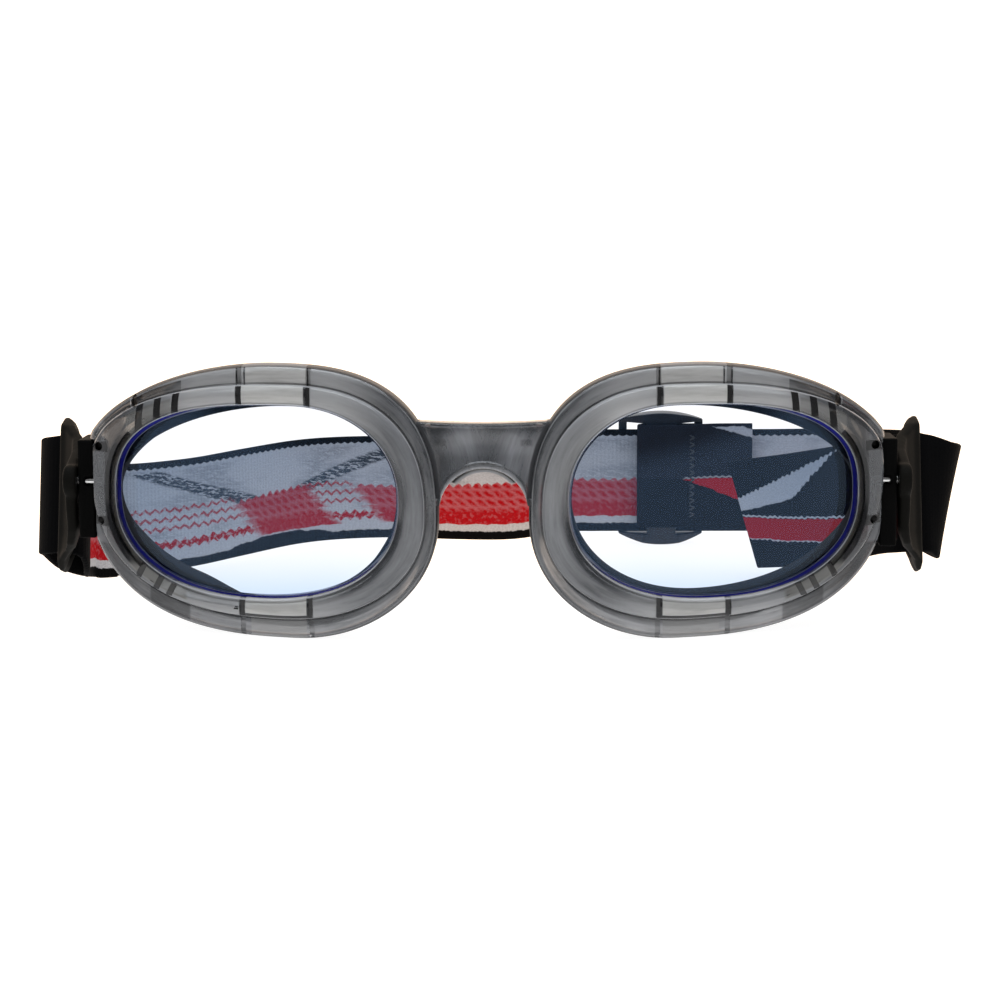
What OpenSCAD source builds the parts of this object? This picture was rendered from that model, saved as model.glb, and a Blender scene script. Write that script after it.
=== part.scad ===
/* [Frame] */
// Radius of the face wrap, seen from above
wrap_r = 150; // [130:5:220]
// Width of the front frame across its temple ends
frame_w = 159.4; // [157:0.2:162]
// Height of a rim
rim_h = 53.4; // [52:0.2:56]
// Width of the gap between the two rims
nose_gap_w = 17.4; // [16:0.2:19]
// Depth of a rim from its front face to its back face
rim_depth = 9; // [8.4:0.2:11]
// How far the outer band of a rim lies behind the inner band
band_step = 1.6; // [1:0.1:2.4]
// Width of the outer band on top and below
band_w = 3.7; // [3:0.1:4.4]
// Width of a groove across the rim
groove_w = 1; // [0.6:0.1:1.6]
// Depth of a groove across the rim
groove_d = 0.8; // [0.4:0.1:1.2]
// Width of a ventilation slot
vent_w = 1.1; // [0.8:0.1:1.6]

/* [Bridge] */
// Height of the bridge's upper edge above the table
bridge_top = 42.9; // [41:0.1:45]
// Height of the highest point of the nose arch
arch_top = 33.9; // [32:0.1:36]
// Radius of the nose arch
arch_r = 8.6; // [8:0.1:9.2]
// Depth of the bridge from front to back
bridge_depth = 5.5; // [4:0.1:6.4]
// Thickness of the nose pad
pad_t = 2.2; // [1.5:0.1:3]
// Radius of a nose pad stud
stud_r = 0.9; // [0.6:0.1:1.2]

/* [Lenses] */
// Width of a rim's opening
opening_w = 57.6; // [56.8:0.1:58]
// Height of a rim's opening
opening_h = 38.2; // [37:0.1:39]
// Thickness of a lens
lens_t = 2; // [1.6:0.1:2.4]
// Depth of the lens seat behind the front face
lens_seat = 3.2; // [2.6:0.1:3.6]
// How far a lens reaches under the rim all round
lens_lap = 1.3; // [0.8:0.1:1.6]
// Depth of the face gasket behind the rim
gasket_depth = 6.8; // [4:0.2:9]

/* [Pivots] */
// Distance of the pivot pin behind the face of the rim's temple end
pin_inset = 1.2; // [1:0.1:1.8]
// Height of the pivot pin above the table
pin_z = 28.6; // [27.6:0.1:29.6]
// Radius of the pivot pin
pin_r = 0.9; // [0.7:0.05:1.1]
// Distance between the two rivets of a bracket
rivet_pitch = 15; // [14:0.2:16]
// Radius of a rivet's shank
rivet_r = 0.8; // [0.6:0.05:0.9]
// Height of the black pivot bracket
bracket_h = 21.8; // [20.6:0.2:23]
// Thickness of the bracket behind the rim's temple end
bracket_wall = 1.9; // [1.4:0.1:3]

/* [Clips] */
// Distance from the pin to the back of the clip
clip_l = 26.2; // [26:0.1:27.4]
// Angle by which the clip hangs below the level
clip_droop = 15; // [13:0.5:17]
// Radius of the clip's knuckle
knuckle_r = 3.3; // [2.6:0.1:3.8]
// Thickness of the bar that carries the strap
clip_bar_t = 3; // [2.4:0.1:3.4]
// Width of the slot for the strap, along the clip
clip_slot_w = 3.6; // [3.2:0.1:4]

/* [Strap] */
// Width of the webbing
web_w = 25; // [24:0.1:25.2]
// Thickness of the webbing
web_t = 1.3; // [1:0.05:1.4]
// Length of the folded strap end on the slider
fold_l = 22; // [18:0.5:24]
// Width of a bar tack's stitching along the strap
tack_w = 2; // [1.2:0.1:2.6]

/* [Slider] */
// Position of the slider along the back of the strap
slider_x = 39.8; // [36:0.2:42]
// Height of the slider
slider_h = 32; // [31.6:0.2:34]
// Width of the slider along the strap
slider_w = 20.4; // [19:0.2:22]
// Thickness of the slider's outer rails
rail_t = 1.8; // [1.4:0.1:2.4]
// Thickness of the slider's middle bar
mid_bar_t = 1.6; // [1.2:0.1:1.9]

/* [Hidden] */

// Running and seating clearances
fit = 0.05;
gap = 0.2;
soft_gap = 0.3;

// Depth of the whole object; its middle is the origin
front_y = -65;
back_y = 62;

// Points on an outline, as a share of a full turn
outline_steps = 96;
smooth = 96;

// Where an outline turns: its top, its foot, its nose side and its temple side
top_x = 41;
foot_x = 38;
opening_foot_x = 45;
nose_z = rim_h * 0.45;
temple_z = rim_h * 0.62;
opening_z = rim_h / 2 - 0.3;

// Edges of the rim, the inner band and the opening
nose_x = nose_gap_w / 2;
temple_x = frame_w / 2;
bulge_x = temple_x + 1.9;
opening_nose_x = nose_x + 7.7;
opening_temple_x = opening_nose_x + opening_w;
opening_low = opening_z - opening_h / 2 + 0.2;
opening_top = opening_low + opening_h;
band_nose_x = nose_x + 2.6;
band_low = 3.9;
foot_cut = 0.2;

// Curvature of the four quarters, from temple top round by the nose to temple foot
rim_curve = [1.85, 2.67, 2.07, 2.66];
band_curve = [2.2, 2.45, 2.2, 2.5];
opening_curve = [2.69, 2.16, 2.32, 2.29];
gasket_curve = [1.86, 2.1, 2.1, 2.03];

// Outline of a quarter-wise egg in the plane of the face
function egg(nose, temple, low, high, x_high, x_low, z_nose, z_temple, curve) =
    [for (i = [0:outline_steps - 1])
        let (turn = 360 * i / outline_steps, c = cos(turn), s = sin(turn),
             cx = s >= 0 ? x_high : x_low,
             cz = c >= 0 ? z_temple : z_nose,
             a = c >= 0 ? temple - cx : cx - nose,
             b = s >= 0 ? high - cz : cz - low,
             n = s >= 0 ? (c >= 0 ? curve[0] : curve[1]) : (c >= 0 ? curve[3] : curve[2]))
        [cx + sign(c) * a * pow(abs(c), 2 / n), cz + sign(s) * b * pow(abs(s), 2 / n)]];

function rim_outline() =
    egg(nose_x, bulge_x, -foot_cut, rim_h, top_x, foot_x, nose_z, temple_z, rim_curve);
function band_outline() =
    egg(band_nose_x, temple_x - 0.2, band_low, rim_h - band_w, top_x - 2, foot_x + 2,
        nose_z + 1, temple_z - 1, band_curve);
function opening_outline(grow) =
    egg(opening_nose_x - grow, opening_temple_x + grow, opening_low - grow, opening_top + grow,
        top_x - 3, opening_foot_x, opening_z + 1, opening_z, opening_curve);
function gasket_outline() =
    egg(nose_x + 1.8, opening_temple_x + 1.6, 1.2, rim_h - 0.9, top_x, foot_x,
        nose_z, temple_z - 3, [1.95, 2.5, 2.07, 2.4]);
function gasket_hole() =
    egg(opening_nose_x + 0.5, opening_temple_x + 0.4, opening_low + 0.1, opening_top - 0.5,
        top_x - 3, foot_x + 4, opening_z + 1, opening_z, gasket_curve);

// Depth of the front face behind the foremost point, at a distance from the middle
function wrap_depth(x, back) = wrap_r - sqrt(pow(wrap_r - back, 2) - x * x);

// Depth of the whole front: the gaskets' temple ends, with room for cuts to run past
front_depth = wrap_depth(temple_x, rim_depth + gasket_depth) + 2;
over = 1;

// Straight block through the frame with an outline in the plane of the face
module face_block(outline) {
    translate([0, front_y + front_depth, 0])
        rotate([90, 0, 0])
            linear_extrude(front_depth + over)
                polygon(outline);
}

// Everything deeper than a stated distance behind the wrapped front face
module behind(back) {
    translate([0, front_y + wrap_r, -over])
        cylinder(r = wrap_r - back, h = rim_h + 2 * over, $fn = smooth);
}

// A wrapped layer between two depths, cut to an outline
module layer(near, far, outline) {
    intersection() {
        difference() {
            behind(near);
            behind(far);
        }
        face_block(outline);
    }
}

module both_sides() {
    children();
    mirror([1, 0, 0]) children();
}

// Rim

vent_top_x = [60.4, 64.5, 68.6];
vent_low_x = [62.8, 66, 69.2];
groove_x = [33.6, 47.4];
vent_l = 3.4;
vent_lip = 0.4;
vent_deep = 6;
vent_over = 2;

function opening_edge_high(x) =
    opening_z + (opening_top - opening_z)
    * pow(1 - pow((x - top_x + 3) / (opening_temple_x - top_x + 3), opening_curve[0]),
          1 / opening_curve[0]);
function opening_edge_low(x) =
    opening_z - (opening_z - opening_low)
    * pow(1 - pow((x - opening_foot_x) / (opening_temple_x - opening_foot_x), opening_curve[3]),
          1 / opening_curve[3]);

module rim_body() {
    intersection() {
        union() {
            layer(band_step, rim_depth, rim_outline());
            layer(0, rim_depth, band_outline());
        }
        translate([0, front_y - over, 0])
            cube([temple_x, front_depth + over, rim_h + over]);
    }
}

module vent_slot(x, z, tilt) {
    translate([x, front_y + wrap_depth(x, 0) - vent_over, z])
        rotate([0, tilt, 0])
            translate([-vent_w / 2, 0, vent_lip])
                cube([vent_w, vent_deep + vent_over, vent_l]);
}

module groove(x, z, length, back) {
    translate([x - groove_w / 2, front_y + wrap_depth(x, back) - over, z])
        cube([groove_w, groove_d + over, length]);
}

module bracket_recess() {
    translate([bracket_x - gap, front_y, bracket_z - gap])
        cube([bulge_x - bracket_x + gap, front_depth, bracket_h + 2 * gap]);
}

module rim_cuts() {
    face_block(opening_outline(0));
    intersection() {
        behind(lens_seat);
        face_block(opening_outline(lens_lap + gap));
    }
    for (x = vent_top_x) vent_slot(x, opening_edge_high(x), 22);
    for (x = vent_low_x) vent_slot(x, opening_edge_low(x), 152);
    for (x = groove_x) {
        groove(x, opening_top - 2, rim_h - band_w - opening_top + 2, 0);
        groove(x, rim_h - band_w, band_w + 1, band_step);
        groove(x, band_low, opening_low - band_low + 2, 0);
        groove(x, -1, band_low + 1, band_step);
    }
    bracket_recess();
    pin_bore();
    for (z = rivet_z) rivet_bore(z);
}

// Bridge

bridge_front = 2;
stud_x = 9.3;
stud_z = 38.4;
stud_l = 3;

module bridge_body() {
    difference() {
        layer(bridge_front, bridge_front + bridge_depth,
              [[-14, arch_top - 5], [14, arch_top - 5], [14, bridge_top], [-14, bridge_top]]);
        translate([0, front_y - 1, arch_top - arch_r])
            rotate([-90, 0, 0])
                cylinder(r = arch_r, h = bridge_front + bridge_depth + 3 * over, $fn = smooth);
    }
}

module stud_bore() {
    translate([stud_x, front_y + bridge_front + bridge_depth - stud_l - gap, stud_z])
        rotate([-90, 0, 0])
            cylinder(r = stud_r + fit, h = stud_l + 4, $fn = 32);
}

module front_frame() {
    color([0.5, 0.51, 0.52, 0.75])
        difference() {
            union() {
                both_sides() rim_body();
                bridge_body();
            }
            both_sides() {
                rim_cuts();
                stud_bore();
            }
        }
}

pad_w = 20.4;

module nose_pad() {
    pad_front = wrap_depth(pad_w / 2, bridge_front + bridge_depth) + gap / 2;
    stud_start = bridge_front + bridge_depth - stud_l;
    color([0.42, 0.43, 0.44, 0.8])
        union() {
            translate([0, front_y + pad_front + pad_t, 0])
                rotate([90, 0, 0])
                    linear_extrude(pad_t)
                        difference() {
                            polygon([[-8.3, arch_top - 3], [8.3, arch_top - 3],
                                     [8.3, stud_z - 2.8], [pad_w / 2, stud_z - 0.5],
                                     [pad_w / 2, bridge_top - 1.8], [-pad_w / 2, bridge_top - 1.8],
                                     [-pad_w / 2, stud_z - 0.5], [-8.3, stud_z - 2.8]]);
                            translate([0, arch_top - arch_r])
                                circle(r = arch_r - 0.5, $fn = smooth);
                        }
            both_sides()
                translate([stud_x, front_y + stud_start, stud_z])
                    rotate([-90, 0, 0])
                        cylinder(r = stud_r, h = pad_front + pad_t / 2 - stud_start, $fn = 32);
        }
}

// Lens and gasket

lens_front = lens_seat + gap / 2;
lens_back = lens_front + lens_t;

module lens() {
    color([0.62, 0.7, 0.95, 0.4])
        layer(lens_front, lens_back, opening_outline(lens_lap));
}

// Depth of the flat backs of the gaskets' temple ends
gasket_flat = wrap_depth(opening_temple_x, rim_depth) + gasket_depth / 2;

module gasket() {
    color([0.06, 0.06, 0.07])
        difference() {
            union() {
                layer(lens_back + gap / 2, rim_depth + gap, opening_outline(lens_lap));
                layer(rim_depth + gap, rim_depth + gasket_depth, gasket_outline());
            }
            face_block(gasket_hole());
            translate([0, front_y + gasket_flat, -over])
                cube([temple_x, front_depth, rim_h + 2 * over]);
        }
}

// Pivot bracket, rivets and pin

bracket_x = temple_x - 0.8;
bracket_out_x = temple_x + 2.6;
bracket_z = pin_z - 2.5 - bracket_h / 2;
rivet_x = bracket_x - 1.5;
rivet_z = [pin_z - rivet_pitch / 2, pin_z + rivet_pitch / 2];
pin_back = wrap_depth(temple_x, band_step) + pin_inset;
bracket_back = wrap_depth(temple_x, rim_depth) + bracket_wall;
pin_in_x = bracket_x - 2.3;
knuckle_x = bracket_out_x + soft_gap;
knuckle_w = 2.7;
pin_out_x = knuckle_x + 1.8;

module along_x(x1, x2, r) {
    translate([x1, front_y + pin_back, pin_z])
        rotate([0, 90, 0])
            cylinder(r = r, h = x2 - x1, $fn = 48);
}

module pin_bore() {
    along_x(pin_in_x - gap, temple_x + 1, pin_r + fit);
}

module rivet_bore(z) {
    translate([rivet_x, front_y, z])
        rotate([-90, 0, 0])
            cylinder(r = rivet_r + fit, h = bracket_back + over, $fn = 32);
}

module bracket() {
    color([0.05, 0.05, 0.055])
        difference() {
            union() {
                translate([bracket_x, front_y + pin_back - 1.6, bracket_z])
                    cube([bracket_out_x - bracket_x, bracket_back - pin_back + 1.6, bracket_h]);
                intersection() {
                    behind(rim_depth + gap);
                    translate([rivet_x - 1.2, front_y + pin_back, bracket_z])
                        cube([bracket_out_x - rivet_x + 1.2, bracket_back - pin_back, bracket_h]);
                }
            }
            along_x(bracket_x - 1, bracket_out_x + 1, pin_r + fit);
            translate([bracket_x - 1, front_y + pin_back - 4, pin_z - pin_r - fit])
                cube([3, 4, 2 * (pin_r + fit)]);
            for (z = rivet_z) rivet_bore(z);
        }
}

module bracket_rivets() {
    color([0.03, 0.03, 0.03])
        for (z = rivet_z)
            translate([rivet_x, front_y + wrap_depth(rivet_x, band_step) + 0.3, z])
                rotate([-90, 0, 0]) {
                    cylinder(r = rivet_r, h = bracket_back - wrap_depth(rivet_x, band_step),
                             $fn = 32);
                    translate([0, 0, bracket_back - wrap_depth(rivet_x, band_step) - 0.25])
                        cylinder(r = rivet_r * 1.5, h = 0.8, $fn = 32);
                }
}

module pivot_pin() {
    color([0.8, 0.8, 0.82])
        along_x(pin_in_x, pin_out_x, pin_r);
}

// Strap clip, drawn level with its pin at the origin

clip_slot_end = clip_l - clip_bar_t;
clip_slot_start = clip_slot_end - clip_slot_w;
clip_half = web_w / 2 + 3.9;
slot_half = web_w / 2 + 0.75;
clip_in_x = knuckle_x + 0.3;
clip_bar_x = clip_in_x + 4.2;
clip_out_x = clip_in_x + 7.1;

module clip_plan() {
    polygon([[clip_in_x, 0], [clip_in_x + 2.4, 0], [clip_in_x + 2.5, 7], [clip_in_x + 3.4, 12],
             [clip_in_x + 5.6, clip_slot_start - 4], [clip_out_x, clip_slot_start - 2.6],
             [clip_out_x, clip_l], [clip_bar_x, clip_l], [clip_bar_x, clip_slot_start + 1.4],
             [clip_in_x + 3.4, clip_slot_start], [clip_in_x + 3.3, clip_slot_start - 3],
             [clip_in_x + 1.1, 12], [clip_in_x + 0.3, 7]]);
}

module clip_side() {
    polygon([[0, knuckle_r], [3, 5.2], [7, 7.7], [12, 11], [16, 13.8], [clip_slot_start, 15.6],
             [clip_slot_start + 2, clip_half], [clip_l - 1.4, clip_half],
             [clip_l, clip_half - 1.5], [clip_l, 1.5 - clip_half], [clip_l - 1.4, -clip_half],
             [clip_slot_start, -clip_half], [16, -14.9], [12, -13.4], [7, -12.2], [3.6, -9.8],
             [1.4, -6.4], [0, -knuckle_r]]);
}

module strap_clip() {
    color([0.09, 0.09, 0.095])
        translate([0, front_y + pin_back, pin_z])
            rotate([-clip_droop, 0, 0])
                difference() {
                    union() {
                        translate([knuckle_x, 0, 0])
                            rotate([0, 90, 0])
                                cylinder(r = knuckle_r, h = knuckle_w, $fn = 48);
                        intersection() {
                            translate([0, 0, -clip_half])
                                linear_extrude(2 * clip_half) clip_plan();
                            rotate([90, 0, 90])
                                linear_extrude(clip_out_x + over) clip_side();
                        }
                    }
                    translate([clip_in_x - over, clip_slot_start, -slot_half])
                        cube([clip_out_x - clip_in_x + 2 * over, clip_slot_w, 2 * slot_half]);
                    translate([knuckle_x - 1, 0, 0])
                        rotate([0, 90, 0])
                            cylinder(r = pin_r + fit, h = pin_out_x - knuckle_x + 1 + gap, $fn = 48);
                }
}

// Webbing

slot_y = front_y + pin_back + (clip_slot_start + clip_slot_w / 2) * cos(clip_droop);
slot_z = pin_z - (clip_slot_start + clip_slot_w / 2) * sin(clip_droop);
lean_y = tan(clip_droop);
rest_z = web_w / 2 + 0.3;
slider_z = slider_h / 2;
run_z = slider_z - 0.8;
fold_z = slider_z + 0.8;
bar_x = (clip_bar_x + clip_out_x) / 2;

// Centre line of the strap: x, y, z, then the lean of its upright side along x and y
strap_route = [
    [-bar_x + 5.2, slot_y + 24.4, slot_z - 7, 0, 0.1],
    [-bar_x + 2.2, slot_y + 21.1, slot_z - 6, 0, 0.14],
    [-bar_x + 1.7, slot_y + 18.7, slot_z - 5.3, 0, 0.18],
    [-bar_x + 2.9, slot_y + 15.1, slot_z - 4.3, 0, 0.22],
    [-bar_x + 4.3, slot_y + 10.6, slot_z - 3, 0, lean_y],
    [-bar_x + 4.6, slot_y + 5.6, slot_z - 1.4, 0, lean_y],
    [-bar_x + 3.0, slot_y + 1.5, slot_z - 0.4, 0, lean_y],
    [-bar_x - 0.3, slot_y, slot_z, 0, lean_y],
    [-bar_x - 4.0, slot_y + 1.4, slot_z - 0.4, 0, lean_y],
    [-bar_x - 7.2, slot_y + 5.4, slot_z - 1.2, 0, lean_y],
    [-bar_x - 7.9, slot_y + 10.4, slot_z - 2.4, 0, 0.24],
    [-bar_x - 5.4, slot_y + 15.2, slot_z - 4, 0, 0.2],
    [-bar_x - 2.1, slot_y + 19.2, slot_z - 5.3, 0, 0.17],
    [-bar_x + 0.9, slot_y + 22.3, slot_z - 6.3, 0, 0.13],
    [-bar_x + 3.9, slot_y + 25.6, slot_z - 7.3, 0, 0.1],
    [-80.4, 11.8, rest_z + 1.3, 0, 0.06],
    [-75, 16.8, rest_z + 0.3, 0, 0.02],
    [-67.6, 23.6, rest_z, 0, 0],
    [-58.5, 33.5, rest_z, 0, 0],
    [-48, 47, rest_z, 0, 0],
    [-38, 56, rest_z, 0, 0],
    [-25, 62.5, rest_z, 0, 0],
    [-10, 64, rest_z, 0, 0],
    [4, 63, rest_z + 0.4, 0, 0],
    [16, back_y, run_z - 0.2, 0, 0],
    [24, back_y, run_z, 0, 0],
    [40, back_y, run_z, 0, 0],
    [58, back_y, run_z, 0, 0],
    [67, back_y, run_z, 0, 0],
    [77, 57, run_z + 0.6, 0.02, 0],
    [86, 46, run_z + 1.6, 0.05, 0],
    [92.4, 32, run_z + 2.8, 0.1, 0],
    [95.6, 16, run_z + 4, 0.15, 0.04],
    [96.2, 0, slot_z - 2.6, 0.17, 0.12],
    [bar_x + 7.2, slot_y + 6, slot_z - 1.6, 0.08, lean_y],
    [bar_x + 4.0, slot_y + 1.5, slot_z - 0.4, 0, lean_y],
    [bar_x + 0.2, slot_y, slot_z, 0, lean_y],
    [bar_x - 3.2, slot_y + 1.5, slot_z - 0.4, 0, lean_y],
    [bar_x - 6.2, slot_y + 5.2, slot_z - 1.3, 0, 0.22],
    [76, -5, slot_z - 4, -0.08, 0.18],
    [66, 6.5, slot_z - 7.2, -0.18, 0.16],
    [56.5, 17.5, rest_z + 0.5, -0.28, 0.14]
];

// Centre line of the folded end, in the slider's own place
bar_half = 3.5;
mid_bar_y = -web_t * 1.5 - 2 * soft_gap - mid_bar_t / 2;
fold_in_y = -web_t - soft_gap;
fold_out_y = mid_bar_y - mid_bar_t / 2 - soft_gap - web_t / 2;
fold_r = (fold_in_y - fold_out_y) / 2;
fold_route = concat(
    [[fold_l, fold_in_y - 0.1], [fold_l - 4, fold_in_y - 0.1], [13, fold_in_y - 0.4],
     [9.4, fold_out_y + 1.9], [5.6, fold_out_y + 0.3], [2, fold_out_y]],
    [for (turn = [-90:-36:-270])
        [-bar_half + fold_r * cos(turn), mid_bar_y + fold_r * sin(turn)]],
    [[1, fold_in_y], [5, fold_in_y], [8.6, fold_in_y]]);

// Smooth curve through the points of a route
route_steps = 3;
function blend(a, b, c, d, t) =
    0.5 * (2 * b + (c - a) * t + (2 * a - 5 * b + 4 * c - d) * t * t
           + (3 * b - a - 3 * c + d) * t * t * t);
function smooth_route(r) =
    concat([for (i = [0:len(r) - 2], k = [0:route_steps - 1])
                blend(r[max(i - 1, 0)], r[i], r[i + 1], r[min(i + 2, len(r) - 1)],
                      k / route_steps)],
           [r[len(r) - 1]]);
function unit(v) = v / norm(v);

// Flat band with square edges that follows a list of x, y, z and lean values
module ribbon(rows, width, thick) {
    last = len(rows) - 1;
    points = [for (i = [0:last])
        let (here = [rows[i][0], rows[i][1], rows[i][2]],
             before = rows[max(i - 1, 0)],
             after = rows[min(i + 1, last)],
             along = unit([after[0] - before[0], after[1] - before[1], after[2] - before[2]]),
             up = unit([rows[i][3], rows[i][4], 1]),
             side = unit(cross(along, up)))
        for (corner = [[1, 1], [-1, 1], [-1, -1], [1, -1]])
            here + side * corner[0] * thick / 2 + up * corner[1] * width / 2];
    walls = [for (i = [0:last - 1], k = [0:3])
        let (a = 4 * i + k, b = 4 * i + (k + 1) % 4)
        for (face = [[a, b, b + 4], [a, b + 4, a + 4]]) face];
    caps = [[2, 1, 0], [3, 2, 0],
            [4 * last, 4 * last + 1, 4 * last + 2], [4 * last, 4 * last + 2, 4 * last + 3]];
    polyhedron(points, concat(walls, caps), convexity = 10);
}

module strap() {
    color([0.85, 0.2, 0.2])
        ribbon(smooth_route(strap_route), web_w, web_t);
}

module strap_end_fold() {
    rows = [for (p = fold_route) [slider_x + p[0], back_y + p[1], fold_z, 0, 0]];
    color([0.12, 0.12, 0.12])
        ribbon(smooth_route(rows), web_w, web_t);
}

// Seam through the two layers behind the left clip
tack_margin = 2.5;
tack_h = web_w - 2 * tack_margin;
sewn = (strap_route[0] + strap_route[1] + strap_route[13] + strap_route[14]) / 4;

module bar_tack_clip() {
    color([0.1, 0.1, 0.1])
        translate([sewn[0], sewn[1], sewn[2]])
            rotate([0, 0, 47.5])
                cube([tack_w, 2 * web_t + 0.6, tack_h], center = true);
}

module bar_tack_slider() {
    tack_x = 8;
    color([0.1, 0.1, 0.1])
        translate([slider_x + tack_x - tack_w, back_y + fold_out_y + 0.2, fold_z - tack_h / 2])
            cube([tack_w, fold_in_y + web_t / 2 + 0.1 - fold_out_y - 0.2, tack_h]);
}

// Slider with two outer rails and a raised middle bar

slider_slot = web_w / 2 + 1;
rail_y = web_t / 2 + soft_gap;
rail_w = 2;

module slider_front_outline() {
    dome_r = 27;
    intersection() {
        square([slider_w, slider_h], center = true);
        translate([0, slider_h / 2 - dome_r]) circle(r = dome_r, $fn = smooth);
        translate([0, dome_r - slider_h / 2]) circle(r = dome_r, $fn = smooth);
    }
}

module strap_slider() {
    bar_front = mid_bar_y - mid_bar_t / 2;
    deep = rail_y + rail_t - bar_front + over;
    color([0.11, 0.11, 0.115])
        translate([slider_x, back_y, slider_z])
            difference() {
                intersection() {
                    translate([0, deep, 0])
                        rotate([90, 0, 0])
                            linear_extrude(2 * deep) slider_front_outline();
                    translate([0, 0, -slider_h / 2])
                        linear_extrude(slider_h)
                            polygon([[-slider_w / 2, rail_y], [-slider_w / 2, rail_y + rail_t],
                                     [slider_w / 2, rail_y + rail_t], [slider_w / 2, rail_y],
                                     [bar_half + 1, bar_front], [-bar_half - 1, bar_front]]);
                }
                for (side = [-1, 1])
                    translate([side > 0 ? bar_half : rail_w - slider_w / 2, -deep, -slider_slot])
                        cube([slider_w / 2 - rail_w - bar_half, 2 * deep, 2 * slider_slot]);
                translate([-slider_w / 2 - 1, mid_bar_y + mid_bar_t / 2, -slider_slot])
                    cube([slider_w + 2, rail_y - mid_bar_y - mid_bar_t / 2, 2 * slider_slot]);
                translate([-bar_half - 1, rail_y - 1, -slider_slot])
                    cube([2 * bar_half + 2, rail_t + 2, 2 * slider_slot]);
            }
}

front_frame();
nose_pad();
mirror([1, 0, 0]) lens();  // lens_left
lens();  // lens_right
mirror([1, 0, 0]) gasket();  // gasket_left
gasket();  // gasket_right
mirror([1, 0, 0]) bracket();  // bracket_left
bracket();  // bracket_right
mirror([1, 0, 0]) bracket_rivets();  // bracket_rivets_left
bracket_rivets();  // bracket_rivets_right
mirror([1, 0, 0]) pivot_pin();  // pivot_pin_left
pivot_pin();  // pivot_pin_right
mirror([1, 0, 0]) strap_clip();  // strap_clip_left
strap_clip();  // strap_clip_right
strap();
strap_end_fold();
strap_slider();
bar_tack_clip();
bar_tack_slider();
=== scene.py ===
import math

import bmesh
import bpy
import numpy as np
from mathutils import Matrix


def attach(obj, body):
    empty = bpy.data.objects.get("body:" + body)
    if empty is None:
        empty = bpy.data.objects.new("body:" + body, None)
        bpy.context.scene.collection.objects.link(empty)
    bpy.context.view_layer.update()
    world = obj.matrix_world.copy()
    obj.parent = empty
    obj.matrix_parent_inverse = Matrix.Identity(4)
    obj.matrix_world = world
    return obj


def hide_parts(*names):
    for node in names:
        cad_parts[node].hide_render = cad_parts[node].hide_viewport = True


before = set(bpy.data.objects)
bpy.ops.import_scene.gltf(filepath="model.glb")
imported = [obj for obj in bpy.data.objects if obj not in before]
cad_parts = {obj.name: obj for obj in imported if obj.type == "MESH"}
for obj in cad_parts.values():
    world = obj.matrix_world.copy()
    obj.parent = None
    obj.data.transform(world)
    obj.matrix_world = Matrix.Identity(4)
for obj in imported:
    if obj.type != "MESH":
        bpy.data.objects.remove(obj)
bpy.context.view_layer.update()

MM = 0.001

# Driving sizes of the glasses, in millimetres
FRONT_Y = -65.0
BACK_Y = 62.0
WRAP_R = 150.0
TEMPLE_X = 79.7
BAND_STEP = 1.6
LENS_FRONT, LENS_BACK = 3.3, 5.3
GASKET_FLAT = 33.4
PIN_BACK, PIN_Z = 26.018, 28.6
RIVET_X, RIVETS_Z = 77.4, (PIN_Z - 7.5, PIN_Z + 7.5)
RECESS_X, RECESS_LOW, RECESS_HIGH = 78.7, 15.0, 37.2
ARCH_R, ARCH_Z = 8.6, 25.3
PAD_ARCH_R = 7.2
BRIDGE_TOP, BRIDGE_FRONT, BRIDGE_BACK = 42.9, 2.0, 7.5
GROOVES_X = (33.6, 47.4)
VENTS_TOP_X, VENT_TOP_TILT = (60.8, 64.7, 68.7), -8
VENTS_LOW_X, VENT_LOW_TILT = (61.6, 64.3, 67.95), 152
VENT_W, VENT_L, VENT_LIP = 1.3, 3.6, 0.4
TEAR_X, TEAR_Z = 69.4, 45.4
WEB_W, WEB_T = 25.0, 1.3
BAR_X, SLOT_Y, SLOT_Z, LEAN_Y = 88.55, -18.31, 23.06, 0.268
REST_Z, RUN_Z, FOLD_Z = 12.8, 15.2, 16.8
SLIDER_X = 39.8
FLOOR_DROP = 0.02
FOLD_IN, FOLD_OUT, MID_BAR, FOLD_R = -1.6, -5.1, -3.35, 1.75


# Outlines in the plane of the face

def egg(nose, temple, low, high, x_high, x_low, z_nose, z_temple, curve):
    """Quarter-wise egg; returns a function from turn angles to x, z rows."""
    def at(turns):
        c, s = np.cos(turns), np.sin(turns)
        above, outward = s >= 0, c >= 0
        cx = np.where(above, x_high, x_low)
        cz = np.where(outward, z_temple, z_nose)
        a = np.where(outward, temple - cx, cx - nose)
        b = np.where(above, high - cz, cz - low)
        power = np.where(above, np.where(outward, curve[0], curve[1]),
                         np.where(outward, curve[3], curve[2]))
        return np.stack([cx + np.sign(c) * a * np.abs(c) ** (2 / power),
                         cz + np.sign(s) * b * np.abs(s) ** (2 / power)], 1)
    return at


def opening(grow=0.0):
    return egg(16.4 - grow, 74.0 + grow, 7.5 - grow, 45.7 + grow, 38, 45, 27.4, 26.4,
               (2.69, 2.16, 2.32, 2.29))


def opening_edge(x, upper):
    """Height of the opening's edge at a distance from the middle."""
    if upper:
        return 26.4 + 19.3 * (1 - ((x - 38) / 36.0) ** 2.69) ** (1 / 2.69)
    return 26.4 - 18.9 * (1 - ((x - 45) / 29.0) ** 2.29) ** (1 / 2.29)


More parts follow.
